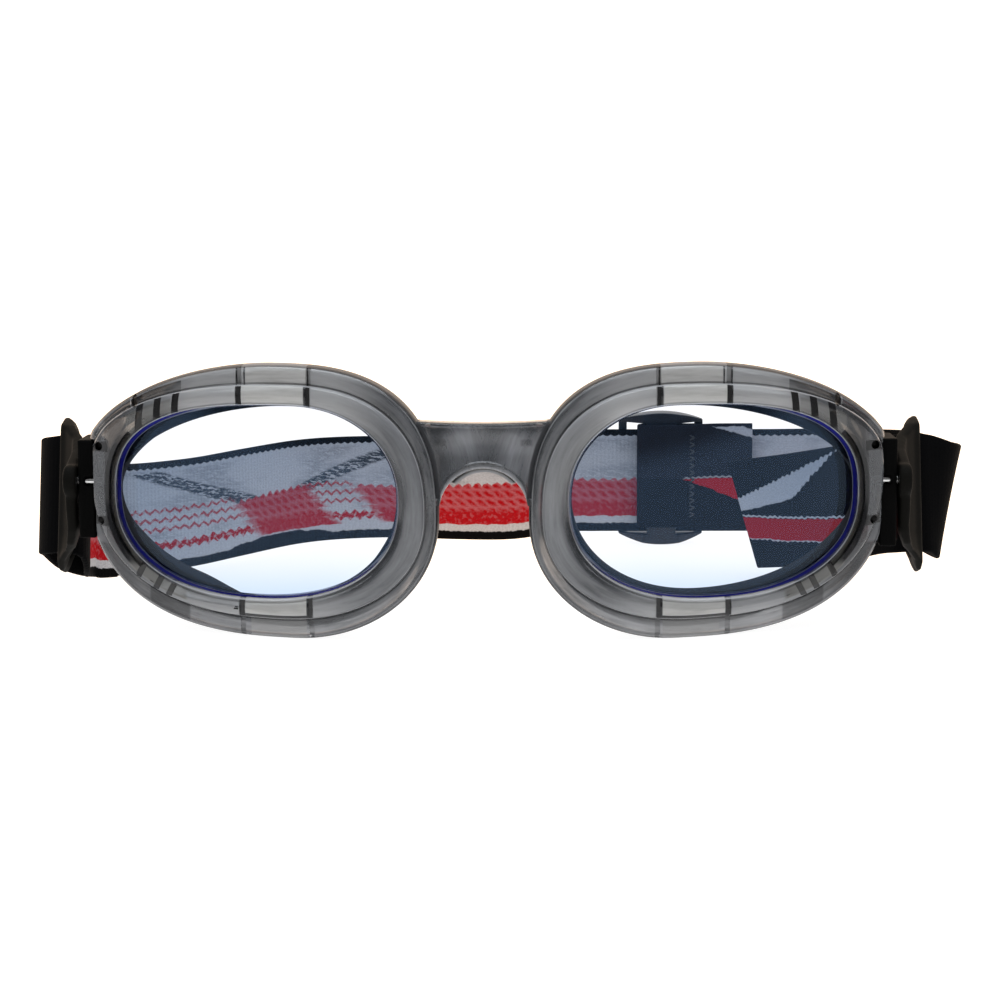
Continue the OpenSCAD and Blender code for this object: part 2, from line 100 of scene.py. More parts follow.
OUTLINES = {
    "rim": egg(8.7, 81.6, -0.2, 53.4, 41, 38, 24.03, 33.108, (1.85, 2.67, 2.07, 2.66)),
    "band": egg(11.3, 79.5, 3.9, 49.7, 39, 40, 25.03, 32.108, (2.2, 2.45, 2.2, 2.5)),
    "opening": opening(),
    "seat": opening(1.5),
    "plug": opening(1.3),
    "gasket": egg(10.5, 75.6, 1.2, 52.5, 41, 38, 24.03, 30.108, (1.95, 2.5, 2.07, 2.4)),
    "gasket_hole": egg(16.9, 74.4, 7.6, 45.2, 38, 42, 27.4, 26.4, (1.86, 2.1, 2.1, 2.03)),
}


def even_turns(outline, count):
    """Turn angles whose points lie evenly along an outline."""
    fine = np.linspace(0, 2 * np.pi, 6001)
    step = np.hypot(*np.diff(outline(fine), axis=0).T)
    length = np.concatenate([[0], np.cumsum(step)])
    return np.interp(np.linspace(0, length[-1], count, endpoint=False), length, fine)


TURNS = even_turns(OUTLINES["band"], 288)


def inward(points, distance):
    """A closed outline moved in by a distance."""
    run = np.roll(points, -1, 0) - np.roll(points, 1, 0)
    run /= np.linalg.norm(run, axis=1)[:, None]
    return points + distance * np.stack([-run[:, 1], run[:, 0]], 1)


def wrap_depth(x, back):
    return WRAP_R - np.sqrt((WRAP_R - back) ** 2 - np.asarray(x, float) ** 2)


def on_face(flat, back):
    """Puts x, z points on the wrapped face, a distance back from its front."""
    return np.stack([flat[:, 0], FRONT_Y + wrap_depth(flat[:, 0], back), flat[:, 1]], 1)


# Meshes

def placed(name, data):
    """A new object in the scene."""
    thing = bpy.data.objects.new(name, data)
    bpy.context.scene.collection.objects.link(thing)
    return thing


def new_piece(name, points, faces, finish):
    """A named object from points in millimetres."""
    mesh = bpy.data.meshes.new(name)
    mesh.from_pydata((np.asarray(points) * MM).tolist(), [], [tuple(map(int, f)) for f in faces])
    piece = placed(name, mesh)
    face_outwards(piece)
    mesh.materials.append(finish)
    return piece


def applied(piece):
    """A plain mesh of a piece as its modifiers leave it, without the modifiers."""
    graph = bpy.context.evaluated_depsgraph_get()
    mesh = bpy.data.meshes.new_from_object(piece.evaluated_get(graph))
    piece.modifiers.clear()
    return mesh


def store(piece, name, values):
    """Keeps one number for each point, for the finishes to read."""
    layer = piece.data.attributes.new(name, "FLOAT", "POINT")
    layer.data.foreach_set("value", values.astype(np.float32))


def face_outwards(piece, merge=None):
    bm = bmesh.new()
    bm.from_mesh(piece.data)
    if merge:
        bmesh.ops.remove_doubles(bm, verts=bm.verts, dist=merge * MM)
    bmesh.ops.recalc_face_normals(bm, faces=bm.faces)
    bm.to_mesh(piece.data)
    bm.free()


def smooth(piece, sharp_over=35):
    piece.data.shade_smooth()
    piece.data.set_sharp_from_angle(angle=math.radians(sharp_over))
    return piece


def loop_faces(rings, count, closed=True, capped=False):
    """Quads between rings of points; closed joins the last ring to the first, and capped
    closes both ends."""
    faces = []
    for i in range(rings if closed else rings - 1):
        a, b = i * count, (i + 1) % rings * count
        for k in range(count):
            n = (k + 1) % count
            faces.append((a + k, a + n, b + n, b + k))
    if capped:
        faces.append(tuple(range(count)))
        faces.append(tuple(reversed(range((rings - 1) * count, rings * count))))
    return faces


def mirrored(points):
    return np.asarray(points) * (-1, 1, 1)


def fade(values, start, end):
    """0 at start to 1 at end, smoothly."""
    t = np.clip((np.asarray(values, float) - start) / (end - start), 0, 1)
    return t * t * (3 - 2 * t)


def swept_ring(profile, limit=None, flat_back=None):
    """A ring swept round the eye from rows of outline, inset and depth.

    A row's last two numbers, where it has them, are its inset and depth at the temple."""
    rings = []
    for name, inset, back, *temple in profile:
        edge_line = OUTLINES[name](TURNS)
        inset, back = np.full(len(TURNS), inset), np.full(len(TURNS), float(back))
        if temple:
            share = fade(edge_line[:, 0], 50, 66)
            inset = inset + share * (temple[0] - inset)
            back = back + share * (temple[1] - back)
        flat = inward(edge_line, inset[:, None])
        if limit is not None:
            flat[:, 0] = np.minimum(flat[:, 0], limit - 0.8 * np.clip(2.1 - back, 0, 0.5))
        ring = on_face(flat, back)
        if flat_back is not None:
            ring[:, 1] = np.minimum(ring[:, 1], FRONT_Y + flat_back)
        rings.append(ring)
    return np.concatenate(rings), loop_faces(len(rings), len(TURNS))


def channel(turns, near, far, top, bottom):
    """Closed block along part of the rim, between two outlines and two depths."""
    corners = ((near, top), (far, top), (far, bottom), (near, bottom))
    edges = []
    for (name, inset), back in corners:
        whole = inward(OUTLINES[name](TURNS), inset)
        flat = np.stack([np.interp(turns, TURNS, whole[:, i], period=2 * np.pi)
                         for i in (0, 1)], 1)
        edges.append(on_face(flat, back))
    points = np.stack(edges, 1).reshape(-1, 3)
    return points, loop_faces(len(turns), len(corners), closed=False, capped=True)


def turns_where(name, test):
    """Turn angles of one unbroken stretch of an outline whose x and z pass a test."""
    turns = np.linspace(-np.pi, np.pi, 721)
    x, z = OUTLINES[name](turns).T
    return turns[test(x, z)][::3]


def combine(piece, other, how):
    """Adds or cuts another closed piece, then throws that piece away."""
    step = piece.modifiers.new("combine", "BOOLEAN")
    step.operation = how
    step.solver = "EXACT"
    step.use_self = True
    step.object = other
    old, piece.data = piece.data, applied(piece)
    piece.data.name = piece.name
    bpy.data.meshes.remove(old)
    bpy.data.meshes.remove(other.data)


def prism(outline, start, end):
    """Closed block along y from an outline in x, z."""
    points = np.array([(x, y, z) for y in (start, end) for x, z in outline], float)
    return points, loop_faces(2, len(outline), closed=False, capped=True)


def gathered(parts):
    """Points and faces of several parts as one."""
    points, faces, start = [], [], 0
    for p, f in parts:
        points.append(np.asarray(p, float))
        faces += [tuple(i + start for i in face) for face in f]
        start += len(p)
    return np.concatenate(points), faces


def merged_copy(node):
    """An editable copy of a CAD node with its loose triangles joined."""
    bm = bmesh.new()
    bm.from_mesh(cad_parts[node].data)
    bmesh.ops.remove_doubles(bm, verts=bm.verts, dist=0.002 * MM)
    return bm


def softened(name, node, width, finish, segments=2):
    """A copy of a CAD node with its hard edges rounded off."""
    bm = merged_copy(node)
    bmesh.ops.dissolve_limit(bm, angle_limit=math.radians(1.5), verts=bm.verts, edges=bm.edges)
    hard = [e for e in bm.edges if len(e.link_faces) == 2
            and e.calc_face_angle(0) > math.radians(32)]
    bmesh.ops.bevel(bm, geom=hard, offset=width * MM, offset_type="OFFSET", segments=segments,
                    profile=0.6, affect="EDGES", clamp_overlap=True)
    bmesh.ops.recalc_face_normals(bm, faces=bm.faces)
    mesh = bpy.data.meshes.new(name)
    bm.to_mesh(mesh)
    bm.free()
    for left in ("custom_normal", "sharp_edge", "sharp_face"):
        if left in mesh.attributes:
            mesh.attributes.remove(mesh.attributes[left])
    mesh.materials.clear()
    mesh.materials.append(finish)
    return smooth(placed(name, mesh), 30)


def vertex_places(piece):
    """A piece's points in millimetres."""
    places = np.empty(3 * len(piece.data.vertices))
    piece.data.vertices.foreach_get("co", places)
    return places.reshape(-1, 3) / MM


def set_vertex_places(piece, places):
    piece.data.vertices.foreach_set("co", (places * MM).ravel())
    piece.data.update()


def melted(name, node, finish, voxel, passes, reshape):
    """A reshaped copy of a CAD node with every edge melted round, as a soft moulding has."""
    mesh = bpy.data.meshes.new(name)
    bm = merged_copy(node)
    bm.to_mesh(mesh)
    bm.free()
    piece = placed(name, mesh)
    step = piece.modifiers.new("skin", "REMESH")
    step.mode = "VOXEL"
    step.voxel_size = voxel * MM
    step = piece.modifiers.new("melt", "SMOOTH")
    step.factor = 0.5
    step.iterations = passes
    piece.data = applied(piece)
    piece.data.name = name
    bpy.data.meshes.remove(mesh)
    set_vertex_places(piece, reshape(vertex_places(piece)))
    face_outwards(piece)
    piece.data.materials.clear()
    piece.data.materials.append(finish)
    piece.data.shade_smooth()
    return piece


def taper_clip(at):
    """Draws a clip's inner side out towards its outer side at the top and bottom."""
    side = np.sign(at[:, 0].mean())
    outer = np.abs(at[:, 0]).max()
    droop = math.atan(LEAN_Y)
    y, z = at[:, 1] - FRONT_Y - PIN_BACK, at[:, 2] - PIN_Z
    along = z * math.cos(droop) + y * math.sin(droop)
    share = np.interp(along, [-16.2, -15.6, -13.7, -12.3, -9, 11, 12.2, 13.9, 15.6, 16.2],
                      [0.3, 0.39, 0.6, 0.82, 1, 1, 0.95, 0.87, 0.64, 0.45])
    at[:, 0] = side * (outer - (outer - np.abs(at[:, 0])) * share)
    return at


def lift_foot(at):
    """Draws the left bracket's foot up, clear of the strap that shows below it."""
    ankle = 19
    if at[:, 0].mean() < 0:
        at[:, 2] = np.where(at[:, 2] < ankle, (ankle + at[:, 2]) / 2, at[:, 2])
    return at


def mount(piece, body, slot, *nodes):
    """A finished piece rides on its body and stands for its CAD nodes."""
    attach(piece, body)
    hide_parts(*nodes)
    return piece


# Finishes

def add_node(tree, kind, settings=(), inputs=()):
    """A node with its settings made first, then its sockets' values or links."""
    made = tree.nodes.new(kind)
    for key, value in dict(settings).items():
        setattr(made, key, value)
    for key, value in dict(inputs).items():
        socket = None
        if isinstance(key, str):
            socket = next((s for s in made.inputs if s.identifier == key), None)
        socket = socket or made.inputs[key]
        if isinstance(value, Value):
            value = value.socket
        if isinstance(value, bpy.types.NodeSocket):
            tree.links.new(value, socket)
        else:
            socket.default_value = value
    return made


class Value:
    """A number in a finish that changes over the surface, for use in sums."""

    def __init__(self, finish, socket):
        self.finish = finish
        self.socket = socket

    def _with(self, operation, *others):
        made = self.finish.node("ShaderNodeMath", {"operation": operation},
                                dict(enumerate(others)))
        return Value(self.finish, made.outputs[0])

    def __add__(self, other): return self._with("ADD", self, other)
    def __radd__(self, other): return self._with("ADD", other, self)
    def __sub__(self, other): return self._with("SUBTRACT", self, other)
    def __rsub__(self, other): return self._with("SUBTRACT", other, self)
    def __mul__(self, other): return self._with("MULTIPLY", self, other)
    def __rmul__(self, other): return self._with("MULTIPLY", other, self)
    def __truediv__(self, other): return self._with("DIVIDE", self, other)
    def __abs__(self): return self._with("ABSOLUTE", self)
    def most(self, other): return self._with("MAXIMUM", self, other)
    def part(self): return self._with("FRACT", self)
    def floor(self): return self._with("FLOOR", self)
    def sine(self): return self._with("SINE", self)
    def root(self): return self._with("SQRT", self)
    def saw(self, pitch): return self._with("PINGPONG", self, pitch)

    def between(self, low, high, soft=0.05):
        """1 between two values, fading over the soft width at both ends."""
        return self.ramp(low - soft, low + soft) * (1 - self.ramp(high - soft, high + soft))

    def ramp(self, start, end):
        """0 at start to 1 at end, smoothly."""
        made = self.finish.node("ShaderNodeMapRange", {"interpolation_type": "SMOOTHSTEP"},
                                {"Value": self, "From Min": start, "From Max": end})
        return Value(self.finish, made.outputs["Result"])


class Finish:
    """One material and the ways of adding to it."""

    def __init__(self, name):
        self.material = bpy.data.materials.new(name)
        self.material.use_nodes = True
        self.tree = self.material.node_tree
        self.tree.nodes.clear()

    def node(self, kind, settings=(), inputs=()):
        return add_node(self.tree, kind, settings, inputs)

    def place(self):
        """The object's own x, y, z in millimetres, and the vector itself."""
        coordinates = self.node("ShaderNodeTexCoord").outputs["Object"]
        vector = self.node("ShaderNodeVectorMath", {"operation": "SCALE"},
                           {0: coordinates, "Scale": 1000.0}).outputs[0]
        parts = self.node("ShaderNodeSeparateXYZ", (), {0: vector})
        return [Value(self, parts.outputs[i]) for i in range(3)] + [vector]

    def measure(self, name):
        return Value(self, self.node("ShaderNodeAttribute",
                                     {"attribute_name": name}).outputs["Fac"])

    def noise(self, vector, scale, detail=3.0, rough=0.5):
        made = self.node("ShaderNodeTexNoise", (), {"Vector": vector, "Scale": scale,
                                                    "Detail": detail, "Roughness": rough})
        return Value(self, made.outputs["Fac"])

    def vector(self, x, y, z):
        return self.node("ShaderNodeCombineXYZ", (), {0: x, 1: y, 2: z}).outputs[0]

    def mixed(self, share, first, second):
        """One surface turning into another."""
        return self.node("ShaderNodeMixShader", (), {0: share, 1: first, 2: second}).outputs[0]

    def blend(self, factor, first, second):
        made = self.node("ShaderNodeMix", {"data_type": "RGBA"},
                         {"Factor_Float": factor, "A_Color": first, "B_Color": second})
        return next(s for s in made.outputs if s.identifier == "Result_Color")

    def bump(self, height, strength, distance):
        return self.node("ShaderNodeBump", (), {"Strength": strength, "Distance": distance * MM,
                                                "Height": height}).outputs[0]

    def surface(self, **inputs):
        names = {key.replace("_", " "): value for key, value in inputs.items()}
        return self.node("ShaderNodeBsdfPrincipled", (), names).outputs[0]

    def done(self, shader):
        self.node("ShaderNodeOutputMaterial", (), {"Surface": shader})
        return self.material


def grey(level, blue=1.0):
    """A grey colour, a little bluer or warmer where blue isn't 1."""
    return (level, level, level * blue, 1.0)


def smoke_plastic():
    """Smoky clear moulding: light window panels with grooves between them painted dark as shade,
    streaks that run with the rims, painted shading across the bands, a painted lighter top, bottom
    and nose side, painted shade in its vents and hollows, and painted highlights and shade lines
    along its edges."""
    f = Finish("smoke_plastic")
    x, _, z, spot = f.place()
    across = abs(x)
    band, eye, rim = f.measure("from_band"), f.measure("from_opening"), f.measure("from_rim")
    raised = band.ramp(-0.1, 0.1)
    saddle = 1 - rim.ramp(-0.7, -0.25)
    outer = (1 - raised) * (1 - saddle)
    top, low = z.ramp(38, 42), 1 - z.ramp(9, 14)
    side = across.ramp(66, 68.5)

    long_streak = f.noise(f.vector(x * 0.06, z * 0.06, band * 0.55), 1.0, 3.0, 0.55)
    streak = f.noise(f.vector(x * 0.16, z * 0.16, band * 1.5 + 7), 1.0, 3.0, 0.6)
    brushed = f.noise(f.vector(x * 0.15, z * 0.07, 3.0), 1.0, 0.5, 0.5)
    fine = f.noise(spot, 1.4, 2.0, 0.5)
    tube = rim.ramp(0.4, 1.7) * (1 - rim.ramp(2.5, 3.9))
    shade = 0.44 + 1.8 * (long_streak - 0.5) + 1.4 * (streak - 0.5) + 0.12 * (fine - 0.5)
    # Painted shading of the rounded bands: the raised band lighter in its middle and darker
    # towards the opening, the outer band darker with a lighter rounded middle (tube).
    shade = shade + raised * (0.35 * eye.ramp(1.0, 2.6) - 0.42 * (1 - eye.ramp(0.4, 1.8)))
    shade = shade + outer * (0.45 * tube - 0.3)
    colour = f.blend(shade, (0.07, 0.073, 0.08, 1), (0.36, 0.37, 0.39, 1))
    # Painted light: the top, the bottom and the nose side of the rims are painted lighter, as lit,
    # less so on the left of the lower outer band.
    above = z.ramp(33, 43) * (1 - across.ramp(56, 66)) * across.ramp(16, 30)
    beneath = (1 - z.ramp(4, 16)) * across.ramp(20, 34) * (1 - across.ramp(54, 66))
    nose_side = raised * z.ramp(22, 30) * (1 - across.ramp(24, 34)) * x.ramp(-12, 12)
    lift = above * (0.85 - 0.15 * outer) + beneath * (0.3 + 0.32 * raised) + 0.3 * nose_side
    lift = lift - 0.25 * beneath * outer * (1 - x.ramp(-12, 12))
    colour = f.blend(lift * (0.85 + 1.2 * (streak - 0.5)), colour, (0.8, 0.8, 0.81, 1))
    # Bridge: brushed grain streaks with painted shade towards the rims and just under the top, a
    # painted lighter band below that, a painted dark top edge and a painted highlight line along
    # it.
    from_top = BRIDGE_TOP - 0.4 * (1 - x * x * 0.0061).most(0) - z
    grain = 0.5 + 1.5 * (brushed - 0.5) - 0.35 * across.ramp(4.5, 9.5)
    grain = grain + 0.2 * from_top.between(2.2, 6.0, 0.9) - 0.2 * (1 - from_top.ramp(0.6, 2.4))
    colour = f.blend(saddle, colour, f.blend(grain, (0.075, 0.08, 0.088, 1),
                                             (0.4, 0.41, 0.44, 1)))
    colour = f.blend(saddle * (1 - from_top.ramp(0.25, 0.5)) * 0.9, colour,
                     (0.012, 0.012, 0.014, 1))
    colour = f.blend(saddle * from_top.between(0.62, 0.85, 0.1) * 0.3, colour,
                     (0.6, 0.61, 0.64, 1))

    arch = (x * x + (z - ARCH_Z) * (z - ARCH_Z)).root() - ARCH_R
    # Along the nose arch: a painted highlight on the lip and a painted shadow line just above it.
    colour = f.blend(saddle * (1 - arch.ramp(0.35, 0.55)) * 0.55, colour, (0.55, 0.56, 0.6, 1))
    colour = f.blend(saddle * arch.between(0.75, 1.2, 0.15) * 0.45, colour,
                     (0.03, 0.031, 0.034, 1))
    studs = across.between(7.2, 9.4, 0.35) * z.between(38.2, 39.4, 0.3)
    colour = f.blend(studs * saddle * 0.45, colour, (0.02, 0.02, 0.024, 1))

    temple = across.ramp(64, 73)
    colour = f.blend(temple * 0.68, colour, (0.022, 0.022, 0.025, 1))
    panels = ((34.6, 46.9, raised * top, (0.86, 0.85, 0.82, 1)),
              (34.0, 46.1, outer * top, (0.8, 0.79, 0.77, 1)),
              (34.5, 46.8, raised * low * band.ramp(0.8, 0.95), (0.8, 0.79, 0.76, 1)),
              (34.6, 45.8, outer * low, (0.34, 0.34, 0.34, 1)),
              (76.0, 79.3, z.between(16.5, 41.0, 0.4), (0.2, 0.207, 0.222, 1)))
    cloudy = 0.86 + 0.5 * (streak - 0.5)
    for start, end, where, tone in panels:
        colour = f.blend(across.between(start, end, 0.12) * where * cloudy, colour, tone)
    brown = side * eye.between(0.25, 1.15, 0.15) * z.between(14.0, 38.5, 0.8)
    colour = f.blend(brown * 0.7, colour, (0.2, 0.185, 0.16, 1))
    cells = raised * band.ramp(0.7, 1.1) * eye.ramp(0.3, 0.7)
    top_cells = across.between(61.5, 71.2, 0.3) * z.ramp(32, 35)
    low_cells = across.between(59.0, 71.0, 0.5) * (1 - z.ramp(18, 20))
    colour = f.blend(cells * (top_cells * 0.55).most(low_cells * 0.9), colour,
                     (0.24, 0.235, 0.22, 1))

    # Painted shade in recesses: the grooves, the step under the lower panels, the top hollow, the
    # temple gutter and trough, the vent slots and the tear; the outer band is also darker at the
    # bottom near the temple. The pegs are the black rivet pegs seen through the plastic.
    bars = across.between(33.3, 34.5, 0.1).most(across.between(46.9, 48.1, 0.1))
    thin = across.between(33.6, 33.95, 0.08).most(across.between(46.2, 46.5, 0.08))
    thin = thin.most(across.between(47.8, 48.1, 0.08))
    under = band.between(0.1, 0.8, 0.08) * across.between(33.4, 48.0, 0.15) * low
    dark = (bars * raised * top.most(low)).most(thin * outer * top).most(under)
    dark = dark.most(outer * top * across.between(59.4, 69.2, 0.1) * rim.ramp(0.5, 0.9)
                     * (0.9 - 0.35 * tube))
    dark = dark.most(outer * low * across.between(58.5, 67.0, 0.3) * rim.ramp(0.5, 0.9) * 0.6)
    dark = dark.most(side * eye.between(1.35, 2.3, 0.2) * z.between(13.0, 39.0, 1.0) * 0.9)
    trough = raised * across.between(71.4, 75.2, 0.5) * z.between(33.5, 42.0, 0.8)
    dark = dark.most(trough * (0.45 + 0.9 * (streak - 0.5)))
    for place in VENTS_TOP_X:
        foot = opening_edge(place, True) + VENT_LIP
        leaning = across - place - (z - foot) * math.tan(math.radians(VENT_TOP_TILT))
        dark = dark.most(leaning.between(-0.72, 0.72, 0.08) * z.ramp(32, 34) * raised)
    for place in VENTS_LOW_X:
        head = opening_edge(place, False) - VENT_LIP
        leaning = across - place - (z - head) * math.tan(math.radians(VENT_LOW_TILT))
        dark = dark.most(leaning.between(-0.7, 0.7, 0.1) * (1 - z.ramp(17, 19)) * raised * 0.85)
    for height in RIVETS_Z:
        peg = across.between(75.3, 78.9, 0.15) * z.between(height - 1.0, height + 1.0, 0.15)
        dark = dark.most(peg * 0.95)
    tear_x, tear_z = (across - TEAR_X - 0.3) / 0.5, (z - TEAR_Z) / 1.3
    tear = (tear_x * tear_x + tear_z * tear_z).root()
    dark = dark.most((1 - tear.ramp(0.8, 1.0)) * outer)
    colour = f.blend(dark * 0.97, colour, (0.01, 0.01, 0.012, 1))

    # Painted highlights along the band step, the opening's edge, the rim and round the tear.
    highlight_lines = band.between(0.02, 0.16, 0.05) * 0.75
    highlight_lines = highlight_lines.most(eye.between(0.02, 0.18, 0.05) * 0.6)
    highlight_lines = highlight_lines.most(rim.between(0.5, 0.72, 0.1) * 0.25)
    highlight_lines = highlight_lines.most(tear.between(1.1, 1.5, 0.15) * outer * 0.6)
    colour = f.blend(highlight_lines * (1 - saddle), colour, (0.75, 0.75, 0.78, 1))
    # Painted shade lines beside the band step, along the rim's outer edge and near the opening's
    # edge.
    edge_line = rim.between(-0.2, 0.36, 0.1) * (1 - saddle)
    shade_lines = (band.between(-0.4, -0.06, 0.08) * 0.6).most(edge_line * 0.85)
    shade_lines = shade_lines.most(eye.between(0.3, 0.6, 0.12) * 0.5)
    colour = f.blend(shade_lines, colour, (0.014, 0.014, 0.016, 1))

    body = f.surface(Base_Color=colour, Roughness=0.1 + 0.1 * fine, IOR=1.45,
                     Transmission_Weight=0.22, Specular_IOR_Level=0.5,
                     Normal=f.bump(fine, 0.12, 0.05))
    see_through = f.surface(Base_Color=(0.6, 0.605, 0.62, 1), Roughness=0.05, IOR=1.45,
                            Transmission_Weight=1.0)
    matte = f.surface(Base_Color=f.blend(across.between(34, 47) * 0.5, (0.045, 0.046, 0.05, 1),
                                         (0.3, 0.3, 0.31, 1)),
                      Roughness=0.6, Specular_IOR_Level=0.05)
    clearness = 0.2 + 0.7 * (streak - 0.42) + 0.1 * across.ramp(66, 76)
    clearness = clearness * (1 - 0.95 * dark)
    clearness = clearness * (1 - 0.7 * across.ramp(58, 66) * (1 - z.ramp(16, 24)))
    wall = (1 - rim.ramp(0.1, 0.4)) * (1 - saddle)
    return f.done(f.mixed(wall * 0.85, f.mixed(clearness, body, see_through), matte))


def tinted_lens():
    """Clear blue-tinted shell with a deep blue line at its cut edge."""
    f = Finish("tinted_lens")
    edge = f.measure("edge")
    *_, spot = f.place()
    haze = f.noise(spot, 0.05, 2.0, 0.5)
    clear = f.surface(Base_Color=f.blend(haze, (0.53, 0.67, 0.88, 1), (0.56, 0.7, 0.9, 1)),
                      Roughness=0.0, IOR=1.35, Transmission_Weight=1.0,
                      Specular_Tint=(0.42, 0.66, 1.0, 1))
    rim = f.surface(Base_Color=(0.018, 0.022, 0.34, 1), Roughness=0.15, IOR=1.5,
                    Transmission_Weight=0.2)
    glint = f.surface(Base_Color=(0.3, 0.34, 0.42, 1), Roughness=0.2, IOR=1.5)
    return f.done(f.mixed(edge.between(0.1, 0.4, 0.08) * 0.7, f.mixed(edge, clear, rim), glint))


def black_foam():
    """Matt black closed-cell foam."""
    f = Finish("black_foam")
    *_, spot = f.place()
    cells = f.noise(spot, 5.0, 4.0, 0.65)
    return f.done(f.surface(Base_Color=f.blend(cells, grey(0.003, 1.1), grey(0.012, 1.15)),
                            Roughness=0.8, Specular_IOR_Level=0.1,
                            Normal=f.bump(cells, 0.6, 0.15)))


def moulded_black(name, dark, light, rough, grain, lift, shine=0.2):
    """Black moulding: faint clouding, fine grain and a little wear in the gloss."""
    f = Finish(name)
    *_, spot = f.place()
    fine = f.noise(spot, grain, 3.0, 0.6)
    cloud = f.noise(spot, 0.12, 2.0, 0.5)
    return f.done(f.surface(Base_Color=f.blend(0.6 * cloud + 0.4 * fine, dark, light),
                            Roughness=rough + 0.16 * cloud + 0.08 * fine, IOR=1.4,
                            Specular_IOR_Level=shine, Normal=f.bump(fine, 0.25, lift)))


def bright_steel():
    """Drawn steel pin with fine lines along it."""
    f = Finish("bright_steel")
    x, y, z, _ = f.place()
    drawn = f.noise(f.vector(x * 0.4, y * 9, z * 9), 1.0, 3.0, 0.6)
    return f.done(f.surface(Base_Color=f.blend(drawn, grey(0.6), grey(0.78)), Metallic=1.0,
                            Roughness=0.16 + 0.16 * drawn, Normal=f.bump(drawn, 0.2, 0.02)))


def clear_silicone():
    """Milky pad: light along its arch, with a painted shadow where it meets the frame."""
    f = Finish("clear_silicone")
    x, _, z, spot = f.place()
    cloud = f.noise(spot, 0.4, 3.0, 0.5)
    from_arch = (x * x + (z - ARCH_Z) * (z - ARCH_Z)).root() - PAD_ARCH_R
    high = z.ramp(21, 26)
    colour = f.blend(cloud, grey(0.2), grey(0.3))
    colour = f.blend((1 - from_arch.ramp(0.25, 0.5)) * high * 0.7, colour, (0.5, 0.51, 0.54, 1))
    shadow = from_arch.between(0.55, 1.35, 0.15) * high
    colour = f.blend(shadow * (0.55 + 0.4 * abs(x).ramp(1.5, 4.5)), colour, grey(0.008))
    return f.done(f.surface(Base_Color=colour, Roughness=0.35 + 0.15 * cloud, IOR=1.41,
                            Transmission_Weight=0.2, Normal=f.bump(cloud, 0.1, 0.05)))


BLACK_YARN = (0.0022, 0.0022, 0.0026, 1)
WHITE_YARN = (0.5, 0.5, 0.52, 1)
PINK_YARN = (0.46, 0.075, 0.09, 1)
RED_YARN = (0.4, 0.002, 0.006, 1)
GREY_YARN = (0.05, 0.058, 0.07, 1)


